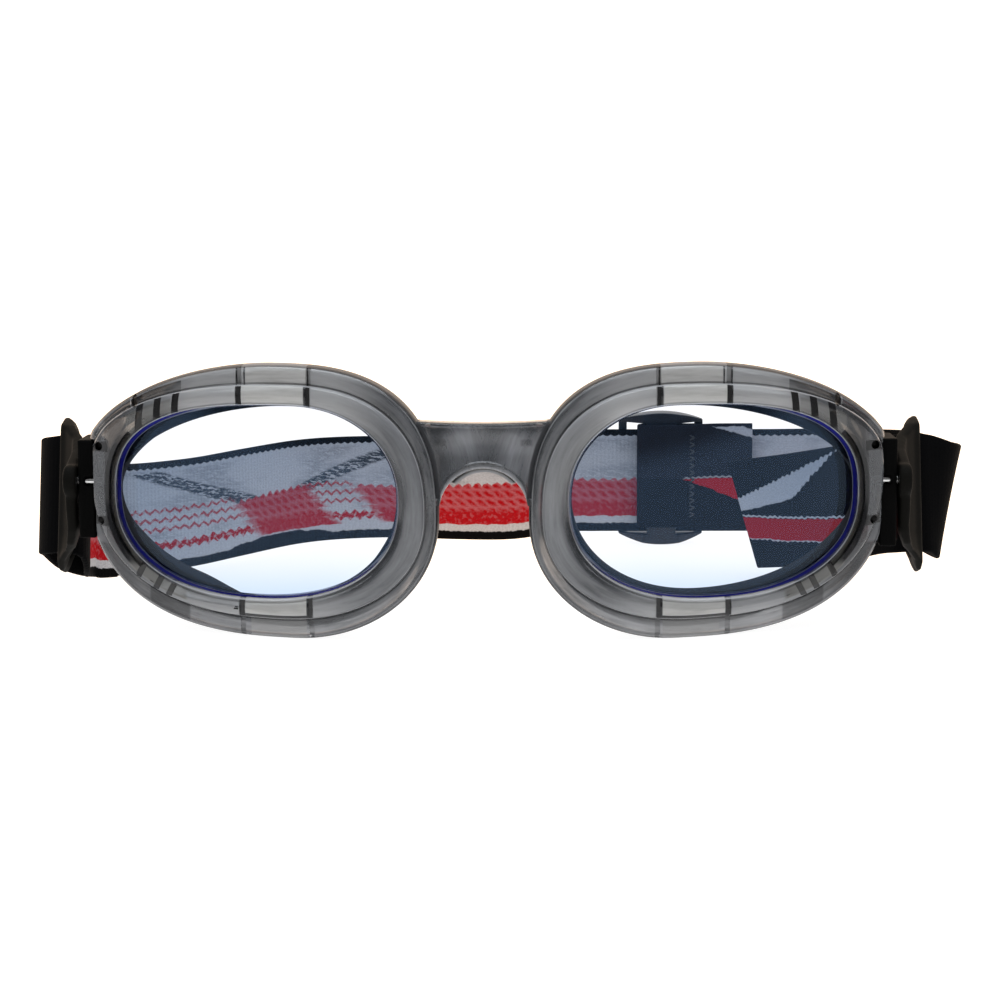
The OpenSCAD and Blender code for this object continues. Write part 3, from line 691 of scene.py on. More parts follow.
def woven_strap():
    """Elastic webbing: white and red inside, black with a red band outside."""
    f = Finish("woven_strap")
    along, across, inner = f.measure("along"), f.measure("across"), f.measure("inner")
    wander = f.noise(f.vector(along, across, 0.0), 0.75, 3.0, 0.6) - 0.5
    sway = f.noise(f.vector(along, across, 9.0), 0.6, 3.0, 0.6) - 0.5
    u = along + 1.5 * wander
    v = across + 0.9 * sway

    rows = (v - 3.9) / 2.15
    row, in_row = rows.floor(), rows.part()
    dash = ((u + 1.1 * v + 0.9 * row) / 2.5).part()
    spots = dash.between(0.14, 0.72, 0.2) * in_row.between(0.1, 0.84, 0.22)
    dense = 1 - v.ramp(6.6, 8.0)
    crest = 14.2 - 1.4 * ((along - 40.0).saw(26.0) / 26.0)
    field = v.ramp(3.75, 4.0) * (crest - v + (dash - 0.5) * 0.9).ramp(0.0, 0.3)
    crumble = f.noise(f.vector(u * 1.1, v * 1.1, 2.0), 1.0, 2.0, 0.5).ramp(0.36, 0.5)
    deep = (spots * (0.55 + 0.45 * crumble)).most(dense * (0.4 + 0.55 * crumble))
    teeth = along.saw(0.95)
    top = (across + wander * 0.5).ramp(23.2, 23.5) * (across - teeth * 0.5).ramp(23.15, 23.35)
    swell = along.between(-243, -214, 3) * 0.9 + along.between(-236, -221, 1.5) * 0.5
    foot = 1 - (across + wander * 0.9 - swell).ramp(2.0, 2.3)
    fleck = f.noise(f.vector(u * 0.3 - v * 0.45, v * 1.7 + u * 0.35, 0.0), 1.1, 3.0, 0.75)
    drift = f.noise(f.vector(u * 0.05, v * 0.12, 4.0), 1.0, 2.0, 0.5).ramp(0.42, 0.6)
    chevron = (v - 10.1 - 0.33 * abs(along + 230)).between(-1.5, 1.5, 0.4)
    flecks = fleck.ramp(0.4, 0.52) * v.between(7.4, 22.8, 0.5) * (drift * 0.35).most(chevron)
    torn = along + 5 * wander + 2.2 * (in_row - 0.5) + 0.9 * v
    sparse = torn.between(-285, -231, 2.5).most(torn.between(-207, -194, 2))
    wave = v + (along.saw(1.3) - 0.65) * 0.7
    lines = wave.between(5.1, 6.7, 0.15)
    for height in (9.6, 11.7, 13.8):
        lines = lines.most(wave.between(height - 0.33, height + 0.33, 0.12) * 0.85)
    field = field * (1 - sparse)
    inside = f.blend(flecks, WHITE_YARN, GREY_YARN)
    inside = f.blend(field * 0.92, inside, PINK_YARN)
    inside = f.blend((field * deep).most(lines * sparse * (0.4 + 0.6 * crumble)), inside, RED_YARN)
    # Painted shadow: the inner face is painted black over a stretch of the strap beside the left
    # clip.
    clip_shadow = along.between(-322.5, -284.5, 0.6)
    inside = f.blend(top.most(foot).most(clip_shadow), inside, BLACK_YARN)

    shown, folded = f.measure("shown"), f.measure("folded")
    stitch = along.saw(0.8) * 0.4
    tilted = v - 0.093 * (u - 24)
    rope = (tilted - stitch).between(4.7, 5.1, 0.1).most((tilted - stitch).between(9.9, 10.3, 0.1))
    band = tilted.between(5.1, 9.95, 0.1)
    jag = along.saw(0.7) * 0.6
    wedge = (28.1 - 0.26 * u - v + jag).ramp(0, 0.3) * (v - 17.8 + 0.1 * u).ramp(0, 0.3)
    wedge = wedge * (v - 34.8 + 0.66 * u + jag).ramp(0, 0.3)
    fold_wedge = (v - 0.377 * u).ramp(5.1, 5.4) * (1 - v.ramp(11.7, 11.9))
    fold_rope = (across - stitch).between(11.7, 12.1, 0.1) * (1 - u.ramp(16.5, 18)) * 0.6
    fold_white = (v - 0.28 * u).between(21.6, 23.6, 0.2) * (1 - v.ramp(24.2, 24.4))
    white = shown * wedge.most(rope) + folded * fold_white.most(fold_rope)
    red = shown * band + folded * fold_wedge
    # On the fold, the part above its black lower band is painted a lighter navy grey, as lit.
    plain = f.blend(folded * v.ramp(11.6, 12.4), BLACK_YARN, grey(0.012, 1.35))
    outside = f.blend(white, plain, WHITE_YARN)
    outside = f.blend(red, outside, RED_YARN)

    rib = (along * (2 * math.pi / 0.95)).sine()
    wale = (across * (2 * math.pi / 0.8) + 1.5 * rib).sine()
    yarn = f.noise(f.vector(along * 1.3, across * 2, 0.0), 1.6, 2.0, 0.5)
    white_face = inner.ramp(-0.08, 0.08)
    relief = (0.5 * rib + 0.35 * wale + 0.12 * yarn) * (0.3 + 0.7 * white_face)
    colour = f.blend(white_face, outside, inside)
    shaded = f.blend(yarn.ramp(0.35, 0.7) * 0.2, colour, grey(0.004))
    return f.done(f.surface(Base_Color=shaded, Roughness=0.75 + 0.2 * yarn,
                            Specular_IOR_Level=0.04,
                            Normal=f.bump(relief, 0.45, 0.12)))


def sewing_thread():
    """Black twisted thread."""
    f = Finish("sewing_thread")
    x, y, z, _ = f.place()
    twist = ((x + y + z * 1.3) * 14).sine()
    return f.done(f.surface(Base_Color=f.blend(0.5 + 0.5 * twist, grey(0.01), grey(0.035)),
                            Roughness=0.6, Sheen_Weight=0.2, Normal=f.bump(twist, 0.4, 0.05)))


def table_top():
    """Table that glows pale, warmer behind the glasses and greyer near the camera."""
    f = Finish("table_top")
    _, y, _, spot = f.place()
    tone = f.noise(spot, 0.01, 2.0, 0.5)
    near = y.ramp(-345, -268)
    glow = f.blend(near, grey(0.12), grey(1.0))
    glow = f.blend(y.ramp(-30, 60), glow, (1.78, 1.42, 1.12, 1))
    return f.done(f.surface(Base_Color=f.blend(tone, grey(0.16), grey(0.18)), Roughness=0.7,
                            Specular_IOR_Level=0.1, Emission_Color=glow,
                            Emission_Strength=0.96))


SMOKE = smoke_plastic()
LENS = tinted_lens()
FOAM = black_foam()
SATIN = moulded_black("satin_black", grey(0.002), grey(0.005), 0.5, 2.2, 0.05, 0.03)
RIVET = moulded_black("rivet_black", grey(0.003), grey(0.006), 0.22, 3.0, 0.02)
CLIP = moulded_black("clip_black", (0.005, 0.0048, 0.0045, 1), (0.012, 0.0115, 0.010, 1), 0.42,
                     1.8, 0.05, 0.02)
SLIDER = moulded_black("slider_black", grey(0.01, 1.2), grey(0.02, 1.25), 0.26, 1.8, 0.05, 0.35)
STEEL = bright_steel()
SILICONE = clear_silicone()
WEBBING = woven_strap()
THREAD = sewing_thread()


# Front frame

RIM_PROFILE = [
    ("rim", 0.9, 9.0), ("rim", 0.35, 8.85), ("rim", 0.08, 8.5), ("rim", 0, 7.8), ("rim", 0, 5.5),
    ("rim", 0, 3.6), ("rim", 0.05, 2.9), ("rim", 0.25, 2.3), ("rim", 0.6, 1.9),
    ("rim", 1.1, 1.68), ("rim", 1.7, 1.6),
    ("band", -0.55, 1.62), ("band", -0.22, 1.68), ("band", -0.05, 1.62),
    ("band", 0, 1.35, 0, 1.3), ("band", 0.1, 0.86, 0.05, 0.75), ("band", 0.4, 0.46, 0.2, 0.3),
    ("band", 0.95, 0.2, 0.5, 0.08), ("band", 1.75, 0.04, 1.2, 0.0),
    ("opening", -1.75, 0.04, -2.3, 0.02), ("opening", -0.95, 0.22, -2.0, 0.12),
    ("opening", -0.42, 0.52, -1.1, 0.62), ("opening", -0.12, 0.98, -0.25, 1.1),
    ("opening", 0, 1.6, 0, 1.5), ("opening", 0, 3.2), ("seat", 0, 3.2), ("seat", 0, 9.0)]


def face_y(x, back):
    """Place of the wrapped face at one distance from the middle."""
    return FRONT_Y + float(wrap_depth(x, back))


def bridge():
    """Lofted saddle between the rims, with a lip along the nose arch."""
    quarter = np.radians(np.linspace(0, 90, 5))
    r, top_r = 0.6, 0.9
    rings = []
    for x in np.linspace(-14, 14, 57):
        low = ARCH_Z + math.sqrt(ARCH_R ** 2 - min(abs(x), 8.5) ** 2)
        high = BRIDGE_TOP - 0.4 * max(1 - (x / 12.8) ** 2, 0)
        hollow = 0.45 * max(1 - (x / 13) ** 2, 0)
        section = [(BRIDGE_FRONT + r - r * math.sin(q), low + r - r * math.cos(q))
                   for q in quarter]
        section += [(BRIDGE_FRONT, low + 1.2), (BRIDGE_FRONT + 0.28, low + 1.5)]
        field = BRIDGE_FRONT + 0.3
        for t in (0.25, 0.5, 0.75):
            section.append((field + hollow * math.sin(math.pi * t),
                            low + 1.5 + t * (high - top_r - low - 1.5)))
        section += [(field + top_r - top_r * math.cos(q), high - top_r + top_r * math.sin(q))
                    for q in quarter]
        section += [(BRIDGE_BACK - top_r + top_r * math.sin(q),
                     high - top_r + top_r * math.cos(q)) for q in quarter]
        section += [(BRIDGE_BACK - r + r * math.cos(q), low + r - r * math.sin(q))
                    for q in quarter]
        rings.append([(x, face_y(x, back), z) for back, z in section])
    faces = loop_faces(len(rings), len(rings[0]), closed=False, capped=True)
    return np.array(rings).reshape(-1, 3), faces


def rounded_slot(x, z, width, length, tilt, r=0.3):
    """Outline of a slot with rounded corners, standing on x, z and leaning by tilt."""
    turn = math.radians(tilt)
    w = width / 2 - r
    ends = [(cx + r * math.cos(a), cz + r * math.sin(a))
            for cx, cz, first in ((w, length - r, 0), (-w, length - r, 90), (-w, r, 180),
                                  (w, r, 270))
            for a in np.radians(np.linspace(first, first + 90, 4))]
    return [(x + math.cos(turn) * a + math.sin(turn) * b,
             z - math.sin(turn) * a + math.cos(turn) * b) for a, b in ends]


def disc(x, z, rx, rz):
    """Outline of a circle or an ellipse."""
    return [(x + rx * math.cos(a), z + rz * math.sin(a))
            for a in np.linspace(0, 2 * np.pi, 32, endpoint=False)]


def frame_cuts():
    """Everything cut out of the right half of the front frame."""
    cuts = []
    vents = [(x, True, VENT_LIP, VENT_TOP_TILT) for x in VENTS_TOP_X]
    vents += [(x, False, -VENT_LIP, VENT_LOW_TILT) for x in VENTS_LOW_X]
    for x, upper, lip, tilt in vents:
        face = face_y(x, 0)
        slot = rounded_slot(x, opening_edge(x, upper) + lip, VENT_W, VENT_L, tilt)
        cuts.append(prism(slot, face - 2, face + 1.1))
    for x in GROOVES_X:
        for low, high, back in ((43.7, 49.7, 0), (49.65, 54.6, BAND_STEP), (3.95, 9.5, 0),
                                (-1.0, 4.0, BAND_STEP)):
            face = face_y(x, back)
            bar = [(x - 0.5, low), (x + 0.5, low), (x + 0.5, high), (x - 0.5, high)]
            cuts.append(prism(bar, face - 1, face + 0.8))
    hollow = turns_where("rim", lambda x, z: (z > 40) & (x > 59.6) & (x < 68.4))
    cuts.append(channel(hollow, ("rim", 0.75), ("band", -0.75), 0.6, 2.1))
    gutter = turns_where("opening", lambda x, z: (x > 66) & (z > 13.5) & (z < 38.5))
    cuts.append(channel(gutter, ("opening", -1.45), ("opening", -0.45), -1.0, 1.9))
    face = face_y(TEAR_X, BAND_STEP)
    cuts.append(prism(disc(TEAR_X, TEAR_Z, 0.6, 1.3), face - 2, face + 2.5))
    for z in RIVETS_Z:
        cuts.append(prism(disc(RIVET_X, z, 0.86, 0.86), FRONT_Y, FRONT_Y + 40))
    cuts.append(prism([(RECESS_X, RECESS_LOW), (84, RECESS_LOW), (84, RECESS_HIGH),
                       (RECESS_X, RECESS_HIGH)], FRONT_Y, FRONT_Y + 45))
    points, faces = prism(disc(FRONT_Y + PIN_BACK, PIN_Z, 0.96, 0.96), 76.3, 80.8)
    cuts.append((points[:, (1, 0, 2)], faces))
    cuts.append(prism(disc(9.3, 38.4, 0.96, 0.96), FRONT_Y + 4.3, FRONT_Y + 12))
    return cuts


def distance_inside(points, outline):
    """Distance of x, z points from a closed outline, positive inside it."""
    start = outline(even_turns(outline, 360))
    run = np.roll(start, -1, 0) - start
    out = []
    for some in np.array_split(points, max(len(points) // 4000, 1)):
        offset = some[:, None] - start
        share = np.clip((offset * run).sum(2) / (run ** 2).sum(1), 0, 1)
        gap = np.linalg.norm(offset - share[..., None] * run, axis=2)
        best = gap.argmin(1)
        rows = np.arange(len(some))
        side = run[best, 0] * offset[rows, best, 1] - run[best, 1] * offset[rows, best, 0]
        out.append(gap[rows, best] * np.sign(side))
    return np.concatenate(out)


def mark_distances(piece):
    """Stores how far each point lies from the band, the opening and the rim."""
    flat = np.abs(vertex_places(piece)[:, (0, 2)])
    for key, outline, sign in (("from_band", "band", 1), ("from_opening", "opening", -1),
                               ("from_rim", "rim", 1)):
        store(piece, key, sign * distance_inside(flat, OUTLINES[outline]))


def front_frame():
    points, faces = swept_ring(RIM_PROFILE, TEMPLE_X)
    piece = new_piece("front_frame_body", points, faces, SMOKE)
    combine(piece, new_piece("left_rim", mirrored(points), faces, SMOKE), "UNION")
    combine(piece, new_piece("bridge", *bridge(), SMOKE), "UNION")
    cuts = frame_cuts()
    cuts += [(mirrored(p), f) for p, f in cuts]
    combine(piece, new_piece("cuts", *gathered(cuts), SMOKE), "DIFFERENCE")
    face_outwards(piece, merge=0.004)
    mark_distances(piece)
    return smooth(piece, 28)


mount(front_frame(), "frame", "smoke_plastic", "front_frame")


def nose_pad():
    """The pad, with its arch drawn in to show below the frame's."""
    pad = softened("nose_pad_soft", "nose_pad", 0.45, SILICONE, 3)
    at = vertex_places(pad)
    reach = np.hypot(at[:, 0], at[:, 2] - ARCH_Z)
    inner = (1 - fade(reach, ARCH_R - 0.4, ARCH_R + 0.6)) * fade(at[:, 2], 20, 25)
    scale = 1 - inner * (ARCH_R - 0.5 - PAD_ARCH_R) / reach
    at[:, 0] *= scale
    at[:, 2] = ARCH_Z + (at[:, 2] - ARCH_Z) * scale
    set_vertex_places(pad, at)
    return pad


mount(nose_pad(), "frame", "silicone", "nose_pad")


# Lenses

def lens(name, flip):
    """Curved shell with a coloured line round its edge."""
    base = opening(1.3)(TURNS)
    rows = [(inset, 0) for inset in (0.15, 0.5, 0.9, 1.3, 1.5, 1.65, 1.8, 1.95, 2.1, 2.25, 2.5,
                                     3.0, 4.0)]
    rows += [(4.0, s) for s in (0.15, 0.3, 0.45, 0.6, 0.75, 0.88)]
    centre = np.array([45.2, 26.6])
    points, edge = [], []

    def add(inset, shrink, back):
        flat = inward(base, inset) if inset else base
        flat = flat + shrink * (centre - flat)
        points.append(on_face(flat, back))
        outward = np.clip((flat[:, 0] - 52) / 16, 0, 1)
        reach = np.clip((1.8 + 0.4 * outward - inset) / 0.3, 0, 1)
        low = np.clip((18 - flat[:, 1]) / 9, 0, 1)
        edge.append(reach * np.clip(0.12 + outward + low, 0, 1))

    for inset, shrink in reversed(rows):
        add(inset, shrink, LENS_FRONT)
    add(0, 0, LENS_FRONT + 0.15)
    add(0, 0, LENS_BACK - 0.15)
    for inset, shrink in rows:
        add(inset, shrink, LENS_BACK)
    count = len(TURNS)
    rings = len(points)
    faces = loop_faces(rings, count, closed=False)
    for ring, back in ((0, LENS_FRONT), (rings - 1, LENS_BACK)):
        middle = sum(len(p) for p in points)
        points.append(on_face(centre[None, :], back))
        edge.append(np.zeros(1))
        faces += [(ring * count + k, ring * count + (k + 1) % count, middle)
                  for k in range(count)]
    points = np.concatenate(points)
    piece = new_piece(name, mirrored(points) if flip else points, faces, LENS)
    store(piece, "edge", np.concatenate(edge))
    return smooth(piece, 40)


mount(lens("lens_right_shell", False), "frame", "tinted_lens", "lens_right")
mount(lens("lens_left_shell", True), "frame", "tinted_lens", "lens_left")


# Face gaskets

GASKET_PROFILE = [
    ("plug", 0.15, 5.45), ("plug", 0, 5.9), ("plug", 0, 9.2), ("gasket", 0.6, 9.25),
    ("gasket", 0.1, 9.6), ("gasket", 0, 10.3), ("gasket", 0, 13.3, 0, 12.4),
    ("gasket", 0.35, 14.6, 0.2, 13.6), ("gasket", 1.1, 15.5, 0.4, 14.8),
    ("gasket", 2.2, 15.8, 0.6, 15.8), ("gasket_hole", -1.6, 15.8, -0.5, 15.8),
    ("gasket_hole", -0.7, 15.5, -0.3, 15.2), ("gasket_hole", -0.2, 14.9, -0.1, 14.5),
    ("gasket_hole", 0, 14.0), ("gasket_hole", 0, 5.9), ("gasket_hole", -0.2, 5.5)]

for side, flip in (("right", False), ("left", True)):
    points, faces = swept_ring(GASKET_PROFILE, flat_back=GASKET_FLAT)
    if flip:
        rows = np.repeat([name == "gasket_hole" for name, *_ in GASKET_PROFILE], len(TURNS))
        depth = points[:, 1] - FRONT_Y - wrap_depth(points[:, 0], 0)
        dip = fade(depth, 7, 13) * fade(points[:, 0], 18, 28) * (1 - fade(points[:, 0], 44, 58))
        points[:, 2] -= 2.7 * rows * dip * (1 - fade(points[:, 2], 14, 22))
    pad = new_piece(f"gasket_{side}_foam", mirrored(points) if flip else points, faces, FOAM)
    mount(smooth(pad, 40), "frame", "gasket_foam", f"gasket_{side}")


# Pivots and clips

for side, clip_body in (("left", "left_clip_and_strap"), ("right", "right_clip")):
    mount(melted(f"bracket_{side}_block", f"bracket_{side}", SATIN, 0.2, 24, lift_foot),
          "frame", "black_plastic", f"bracket_{side}")
    mount(softened(f"rivets_{side}", f"bracket_rivets_{side}", 0.2, RIVET),
          "frame", "rivet_plastic", f"bracket_rivets_{side}")
    mount(softened(f"pin_{side}", f"pivot_pin_{side}", 0.18, STEEL),
          "frame", "pin_steel", f"pivot_pin_{side}")
    mount(melted(f"clip_{side}", f"strap_clip_{side}", CLIP, 0.28, 40, taper_clip),
          clip_body, "clip_plastic", f"strap_clip_{side}")
mount(softened("slider_buckle", "strap_slider", 0.5, SLIDER, 3),
      "slider", "slider_plastic", "strap_slider")


# Strap

STRAP_ROUTE = [
    (-BAR_X + 5.2, SLOT_Y + 24.4, SLOT_Z - 9.4, 0, 0.1),
    (-BAR_X + 2.2, SLOT_Y + 21.1, SLOT_Z - 9, 0, 0.14),
    (-BAR_X + 0.9, SLOT_Y + 18.7, SLOT_Z - 8.1, 0, 0.08),
    (-BAR_X + 0.9, SLOT_Y + 15.1, SLOT_Z - 7.6, 0, 0.1),
    (-BAR_X + 1.4, SLOT_Y + 10.6, SLOT_Z - 6.9, 0, 0.14),
    (-BAR_X + 2.6, SLOT_Y + 5.6, SLOT_Z - 4.8, 0, 0.2),
    (-BAR_X + 2.6, SLOT_Y + 1.5, SLOT_Z - 1.4, 0, LEAN_Y),
    (-BAR_X - 0.3, SLOT_Y, SLOT_Z, 0, LEAN_Y),
    (-BAR_X - 4.0, SLOT_Y + 1.4, SLOT_Z - 0.4, 0, LEAN_Y),
    (-BAR_X - 6.7, SLOT_Y + 5.4, SLOT_Z - 1.2, 0, LEAN_Y),
    (-BAR_X - 7.2, SLOT_Y + 10.4, SLOT_Z - 2.4, 0, 0.24),
    (-BAR_X - 5.4, SLOT_Y + 15.2, SLOT_Z - 5.8, 0, 0.2),
    (-BAR_X - 2.1, SLOT_Y + 19.2, SLOT_Z - 8, 0, 0.17),
    (-BAR_X + 0.9, SLOT_Y + 22.3, SLOT_Z - 9, 0, 0.13),
    (-BAR_X + 3.9, SLOT_Y + 25.6, SLOT_Z - 9.4, 0, 0.1),
    (-80.4, 11.8, REST_Z + 0.4, 0, 0.06),
    (-75, 16.8, REST_Z + 0.3, 0, 0.02),
    (-67.6, 23.6, REST_Z + 0.5, 0, 0),
    (-58.5, 33.5, REST_Z + 1.2, 0, 0),
    (-48, 47, REST_Z + 1.6, 0, 0),
    (-38, 56, REST_Z + 1.4, 0, 0),
    (-25, 62.5, REST_Z + 0.8, 0, 0),
    (-10, 64, REST_Z, 0, 0),
    (4, 63, REST_Z + 0.2, 0, 0),
    (16, BACK_Y, RUN_Z - 0.2, 0, 0),
    (24, BACK_Y, RUN_Z, 0, 0),
    (40, BACK_Y, RUN_Z, 0, 0),
    (58, BACK_Y, RUN_Z, 0, 0),
    (67, BACK_Y, RUN_Z, 0, 0),
    (77.6, 57.3, RUN_Z + 0.6, 0.02, 0),
    (87.2, 46.6, RUN_Z + 1.6, 0.06, 0),
    (94.2, 32.6, RUN_Z + 2.8, 0.12, 0),
    (97.8, 16, RUN_Z + 2.8, 0.24, 0.04),
    (98.0, 0, SLOT_Z - 3.9, 0.27, 0.12),
    (BAR_X + 8.2, SLOT_Y + 6, SLOT_Z - 2.6, 0.19, LEAN_Y),
    (BAR_X + 4.0, SLOT_Y + 1.5, SLOT_Z - 0.4, 0, LEAN_Y),
    (BAR_X + 0.2, SLOT_Y, SLOT_Z, 0, LEAN_Y),
    (BAR_X - 3.2, SLOT_Y + 1.5, SLOT_Z - 0.4, 0, LEAN_Y),
    (BAR_X - 6.2, SLOT_Y + 5.2, SLOT_Z - 1.3, 0, 0.22),
    (76, -5, SLOT_Z - 4, -0.08, 0.18),
    (66, 6.5, SLOT_Z - 7.2, -0.18, 0.16),
    (56.5, 17.5, REST_Z + 0.5, -0.28, 0.14)]

FOLD_ROUTE = [(SLIDER_X + x, BACK_Y + y, FOLD_Z, 0, 0) for x, y in
              [(22, FOLD_IN - 0.1), (18, FOLD_IN - 0.1), (13, FOLD_IN - 0.4),
               (9.4, FOLD_OUT + 1.9), (5.6, FOLD_OUT + 0.3), (2, FOLD_OUT)]
              + [(-3.5 + FOLD_R * math.cos(math.radians(a)),
                  MID_BAR + FOLD_R * math.sin(math.radians(a))) for a in range(-90, -271, -36)]
              + [(1, FOLD_IN), (5, FOLD_IN), (8.6, FOLD_IN)]]


def smooth_route(rows, steps):
    """Catmull-Rom curve through the rows."""
    rows = np.array(rows, float)
    padded = np.concatenate([rows[:1], rows, rows[-1:]])
    out = []
    for i in range(len(rows) - 1):
        a, b, c, d = padded[i:i + 4]
        for t in np.arange(steps) / steps:
            out.append(0.5 * (2 * b + (c - a) * t + (2 * a - 5 * b + 4 * c - d) * t * t
                              + (3 * b - a - 3 * c + d) * t ** 3))
    out.append(rows[-1])
    return np.array(out)


def unit(v):
    """Vectors brought to a length of 1."""
    return v / np.linalg.norm(v, axis=-1, keepdims=True)


def webbing(name, route, steps, tail_row=None, turned_rows=0):
    """Band of webbing with rounded selvedges, marked along, across and by its inner face.

    Its tail's pattern starts at a row of the route; without one it has the fold's. Its
    first rows may be turned over."""
    rows = smooth_route(route, steps)
    centre = rows[:, :3]
    along = unit(np.gradient(centre, axis=0))
    up = unit(np.concatenate([rows[:, 3:5], np.ones((len(rows), 1))], 1))
    side = unit(np.cross(along, up))
    half_t, half_w = WEB_T / 2, WEB_W / 2
    faces_at = np.linspace(-half_w + 0.5, half_w - 0.5, 13)
    turn = np.radians(np.linspace(0, 180, 7))[1:-1]
    section = [(half_t, v) for v in faces_at]
    section += [(half_t * math.cos(a), half_w - 0.5 + 0.5 * math.sin(a)) for a in turn]
    section += [(-half_t, v) for v in reversed(faces_at)]
    section += [(-half_t * math.cos(a), -half_w + 0.5 - 0.5 * math.sin(a)) for a in turn]
    section = np.array(section)
    count, rings = len(section), len(rows)
    points = (centre[:, None] + side[:, None] * section[None, :, :1]
              + up[:, None] * section[None, :, 1:])
    faces = loop_faces(rings, count, closed=False, capped=True)
    piece = new_piece(name, points.reshape(-1, 3), faces, WEBBING)
    length = np.concatenate([[0], np.cumsum(np.linalg.norm(np.diff(centre, axis=0), axis=1))])
    from_tail = length - length[(tail_row or 0) * steps]
    tail = tail_row is not None
    facing = np.where(np.arange(rings) < turned_rows * steps, -1, 1)
    marks = {"along": np.repeat(from_tail, count),
             "across": np.tile(section[:, 1] + half_w, rings),
             "inner": np.outer(facing, section[:, 0] / half_t).ravel(),
             "shown": np.repeat(fade(from_tail, -0.5, 0.5) * tail, count),
             "folded": np.full(rings * count, float(not tail))}
    for key, values in marks.items():
        store(piece, key, values)
    return smooth(piece, 50)


TAIL_ROW = len(STRAP_ROUTE) - 5
SLOT_ROW = 7
strap = webbing("strap_webbing", STRAP_ROUTE, 10, TAIL_ROW, SLOT_ROW)
mount(strap, "left_clip_and_strap", "strap_webbing", "strap")
mount(webbing("strap_fold", FOLD_ROUTE, 6), "slider", "strap_webbing", "strap_end_fold")


# Bar tacks

def stitch_tree():
    """Geometry Nodes: a column of zigzag stitches, one column each side of the layers."""
    tree = bpy.data.node_groups.new("bar_tack_stitches", "GeometryNodeTree")
    for label, kind, value in (("Stitches", "NodeSocketInt", 20), ("Pitch", "NodeSocketFloat", 1),
                               ("Stitch length", "NodeSocketFloat", 2),
                               ("Thread radius", "NodeSocketFloat", 0.2),
                               ("Slant", "NodeSocketFloat", 0.3),
                               ("Thread", "NodeSocketMaterial", None)):
        socket = tree.interface.new_socket(label, in_out="INPUT", socket_type=kind)
        if value is not None:
            socket.default_value = value
    tree.interface.new_socket("Geometry", in_out="OUTPUT", socket_type="NodeSocketGeometry")

    def node(kind, settings=(), inputs=()):
        return add_node(tree, kind, settings, inputs).outputs

    def maths(operation, *values):
        return node("ShaderNodeMath", {"operation": operation}, dict(enumerate(values)))[0]

    given = node("NodeGroupInput")
    half = maths("MULTIPLY", given["Stitch length"], 0.5)
    start = node("ShaderNodeCombineXYZ", (), {0: maths("MULTIPLY", half, -1.0)})[0]
    middle = node("ShaderNodeCombineXYZ", (), {1: maths("MULTIPLY", given["Thread radius"],
                                                        -1.2)})[0]
    end = node("ShaderNodeCombineXYZ", (), {0: half})[0]
    path = node("GeometryNodeCurveQuadraticBezier", (),
                {"Resolution": 6, "Start": start, "Middle": middle, "End": end})[0]
    ring = node("GeometryNodeCurvePrimitiveCircle", {"mode": "RADIUS"},
                {"Resolution": 6, "Radius": given["Thread radius"]})[0]
    thread = node("GeometryNodeCurveToMesh", (),
                  {"Curve": path, "Profile Curve": ring, "Fill Caps": True})[0]
    step = node("ShaderNodeCombineXYZ", (), {2: given["Pitch"]})[0]
    column = node("GeometryNodeMeshLine", {"mode": "OFFSET"},
                  {"Count": given["Stitches"], "Offset": step})[0]
    odd = maths("MODULO", node("GeometryNodeInputIndex")[0], 2.0)
    lean = maths("MULTIPLY", maths("MULTIPLY_ADD", odd, 2.0, -1.0), given["Slant"])
    turned = node("ShaderNodeCombineXYZ", (), {1: lean})[0]
    sewn = node("GeometryNodeInstanceOnPoints", (),
                {"Points": column, "Instance": thread, "Rotation": turned})[0]
    real = node("GeometryNodeRealizeInstances", (), {0: sewn})[0]
    coloured = node("GeometryNodeSetMaterial", (), {0: real, "Material": given["Thread"]})[0]
    node("NodeGroupOutput", (), {0: coloured})
    return tree


STITCHES = stitch_tree()


def stitch_column(count, pitch, length, radius, slant):
    """Points and faces of one column of stitches, in metres."""
    holder = placed("stitch_column", bpy.data.meshes.new("stitch_column"))
    step = holder.modifiers.new("stitches", "NODES")
    step.node_group = STITCHES
    wanted = {"Stitches": count, "Pitch": pitch * MM, "Stitch length": length * MM,
              "Thread radius": radius * MM, "Slant": slant, "Thread": THREAD}
    for item in STITCHES.interface.items_tree:
        if item.item_type == "SOCKET" and item.in_out == "INPUT":
            step[item.identifier] = wanted[item.name]
    mesh = applied(holder)
    points = np.array([v.co[:] for v in mesh.vertices]) / MM
    faces = [tuple(p.vertices) for p in mesh.polygons]
    bpy.data.meshes.remove(holder.data)
    bpy.data.meshes.remove(mesh)
    return points, faces


def bar_tack(name, centre, turn, half_depth):
    """Stitches on both faces of two sewn layers."""
    count, pitch = 24, 0.85
    column, faces = stitch_column(count, pitch, 1.9, 0.2, 0.42)
    column = column - (0, 0, pitch * (count - 1) / 2)
    points, faces = gathered([(column * (1, -side, 1) + (0, side * half_depth, 0), faces)
                              for side in (-1, 1)])
    spin = np.array(Matrix.Rotation(math.radians(turn), 3, "Z"))
    piece = new_piece(name, points @ spin.T + centre, faces, THREAD)
    return smooth(piece, 60)


sewn = np.mean([STRAP_ROUTE[i][:3] for i in (0, 1, 13, 14)], axis=0)
mount(bar_tack("tack_at_clip", sewn, 47.5, 1.42), "left_clip_and_strap", "thread",
      "bar_tack_clip")
mount(bar_tack("tack_at_slider", np.array([SLIDER_X + 7, BACK_Y - 2.9, FOLD_Z]), 0, 1.95),
      "slider", "thread", "bar_tack_slider")


# Table, lights and camera

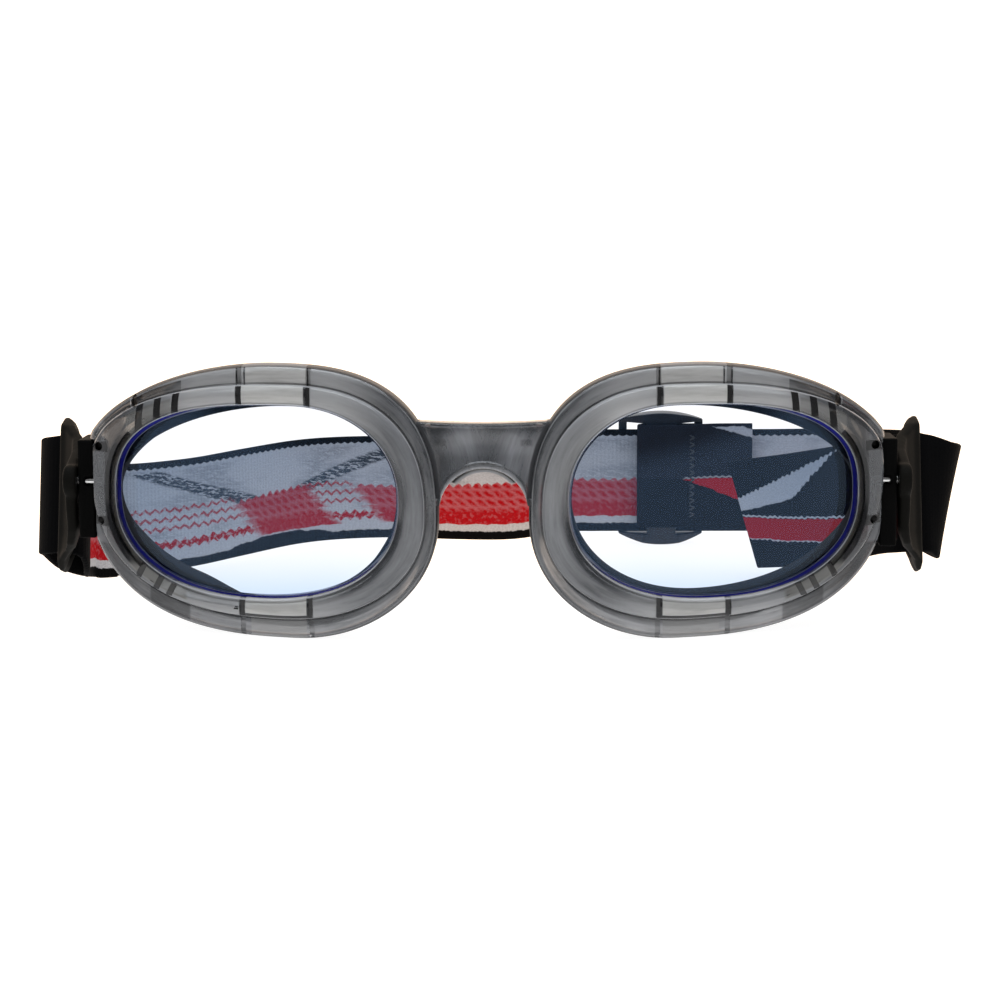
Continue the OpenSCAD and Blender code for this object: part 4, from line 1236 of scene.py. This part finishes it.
def table():
    """Pale table that curves up behind."""
    reach, depth, curve = 1500, 700, 500
    profile = [(-reach, 0), (depth, 0)]
    profile += [(depth + curve * math.sin(a), curve - curve * math.cos(a))
                for a in np.radians(np.linspace(10, 90, 9))]
    profile.append((depth + curve, 2200))
    points = [(side * reach, y, z - FLOOR_DROP) for y, z in profile for side in (-1, 1)]
    faces = [(2 * i, 2 * i + 1, 2 * i + 3, 2 * i + 2) for i in range(len(profile) - 1)]
    mesh = bpy.data.meshes.new("table")
    mesh.from_pydata((np.array(points) * MM).tolist(), [], faces)
    mesh.materials.append(table_top())
    mesh.shade_smooth()
    return placed("table", mesh)


table()


def towards(right, up, back, place):
    """Matrix of a lamp or camera that looks against back."""
    return Matrix([[right[i], up[i], back[i], place[i]] for i in range(3)] + [[0, 0, 0, 1]])


def soft_light(name, at, aim, size, power):
    lamp = bpy.data.lights.new(name, "AREA")
    lamp.shape = "RECTANGLE"
    lamp.size, lamp.size_y = size
    lamp.energy = power
    lamp.color = (0.88, 0.94, 1.0)
    back = unit(np.array(at, float) - np.array(aim, float))
    right = unit(np.cross((0, 0.1, 1), back))
    placed(name, lamp).matrix_world = towards(right, np.cross(back, right), back, at)


soft_light("overhead", (0.0, -0.05, 0.9), (0, 0, 0), (0.9, 0.5), 5)
soft_light("front_left", (-0.9, -0.7, 0.8), (0, 0, 0.02), (0.25, 0.7), 1.6)
soft_light("front_right", (0.9, -0.6, 0.7), (0, 0, 0.02), (0.2, 0.7), 1.2)


def studio_room():
    """Bright behind and above, dim on the camera's side."""
    room = bpy.data.worlds.new("studio_room")
    room.use_nodes = True
    tree = room.node_tree
    tree.nodes.clear()

    def node(kind, settings=(), inputs=()):
        return add_node(tree, kind, settings, inputs).outputs

    def rising(value, start, end, low, high):
        return node("ShaderNodeMapRange", {"interpolation_type": "SMOOTHSTEP"},
                    {"Value": value, "From Min": start, "From Max": end, "To Min": low,
                     "To Max": high})[0]

    parts = node("ShaderNodeSeparateXYZ", (), {0: node("ShaderNodeTexCoord")["Generated"]})
    behind = rising(parts[1], -0.1, 0.75, 0.1, 1.35)
    above = rising(parts[2], 0.35, 0.95, 0.0, 0.6)
    total = node("ShaderNodeMath", {"operation": "ADD"}, {0: behind, 1: above})[0]
    light = node("ShaderNodeBackground", (), {"Strength": total})[0]
    node("ShaderNodeOutputWorld", (), {"Surface": light})
    return room


def photo_camera():
    """Camera fitted to the photograph, in millimetres and unit directions."""
    place, ahead = (12.356, -515.36, 91.476), (-0.02005, 0.99007, -0.13917)
    nearly_up, focal_length = (0.00154, 0.13923, 0.99026), 85.93
    data = bpy.data.cameras.new("photo_view")
    data.sensor_width = 36
    data.lens = focal_length
    data.clip_start, data.clip_end = 0.01, 20
    forward = unit(np.array(ahead))
    right = unit(np.cross(forward, nearly_up))
    camera = placed("photo_view", data)
    camera.matrix_world = towards(right, np.cross(right, forward), -forward,
                                  np.array(place) * MM)
    return camera


studio = bpy.context.scene
studio.world = studio_room()
studio.view_settings.view_transform = "Standard"
studio.view_settings.look = "None"
studio.camera = photo_camera()

bpy.context.view_layer.update()
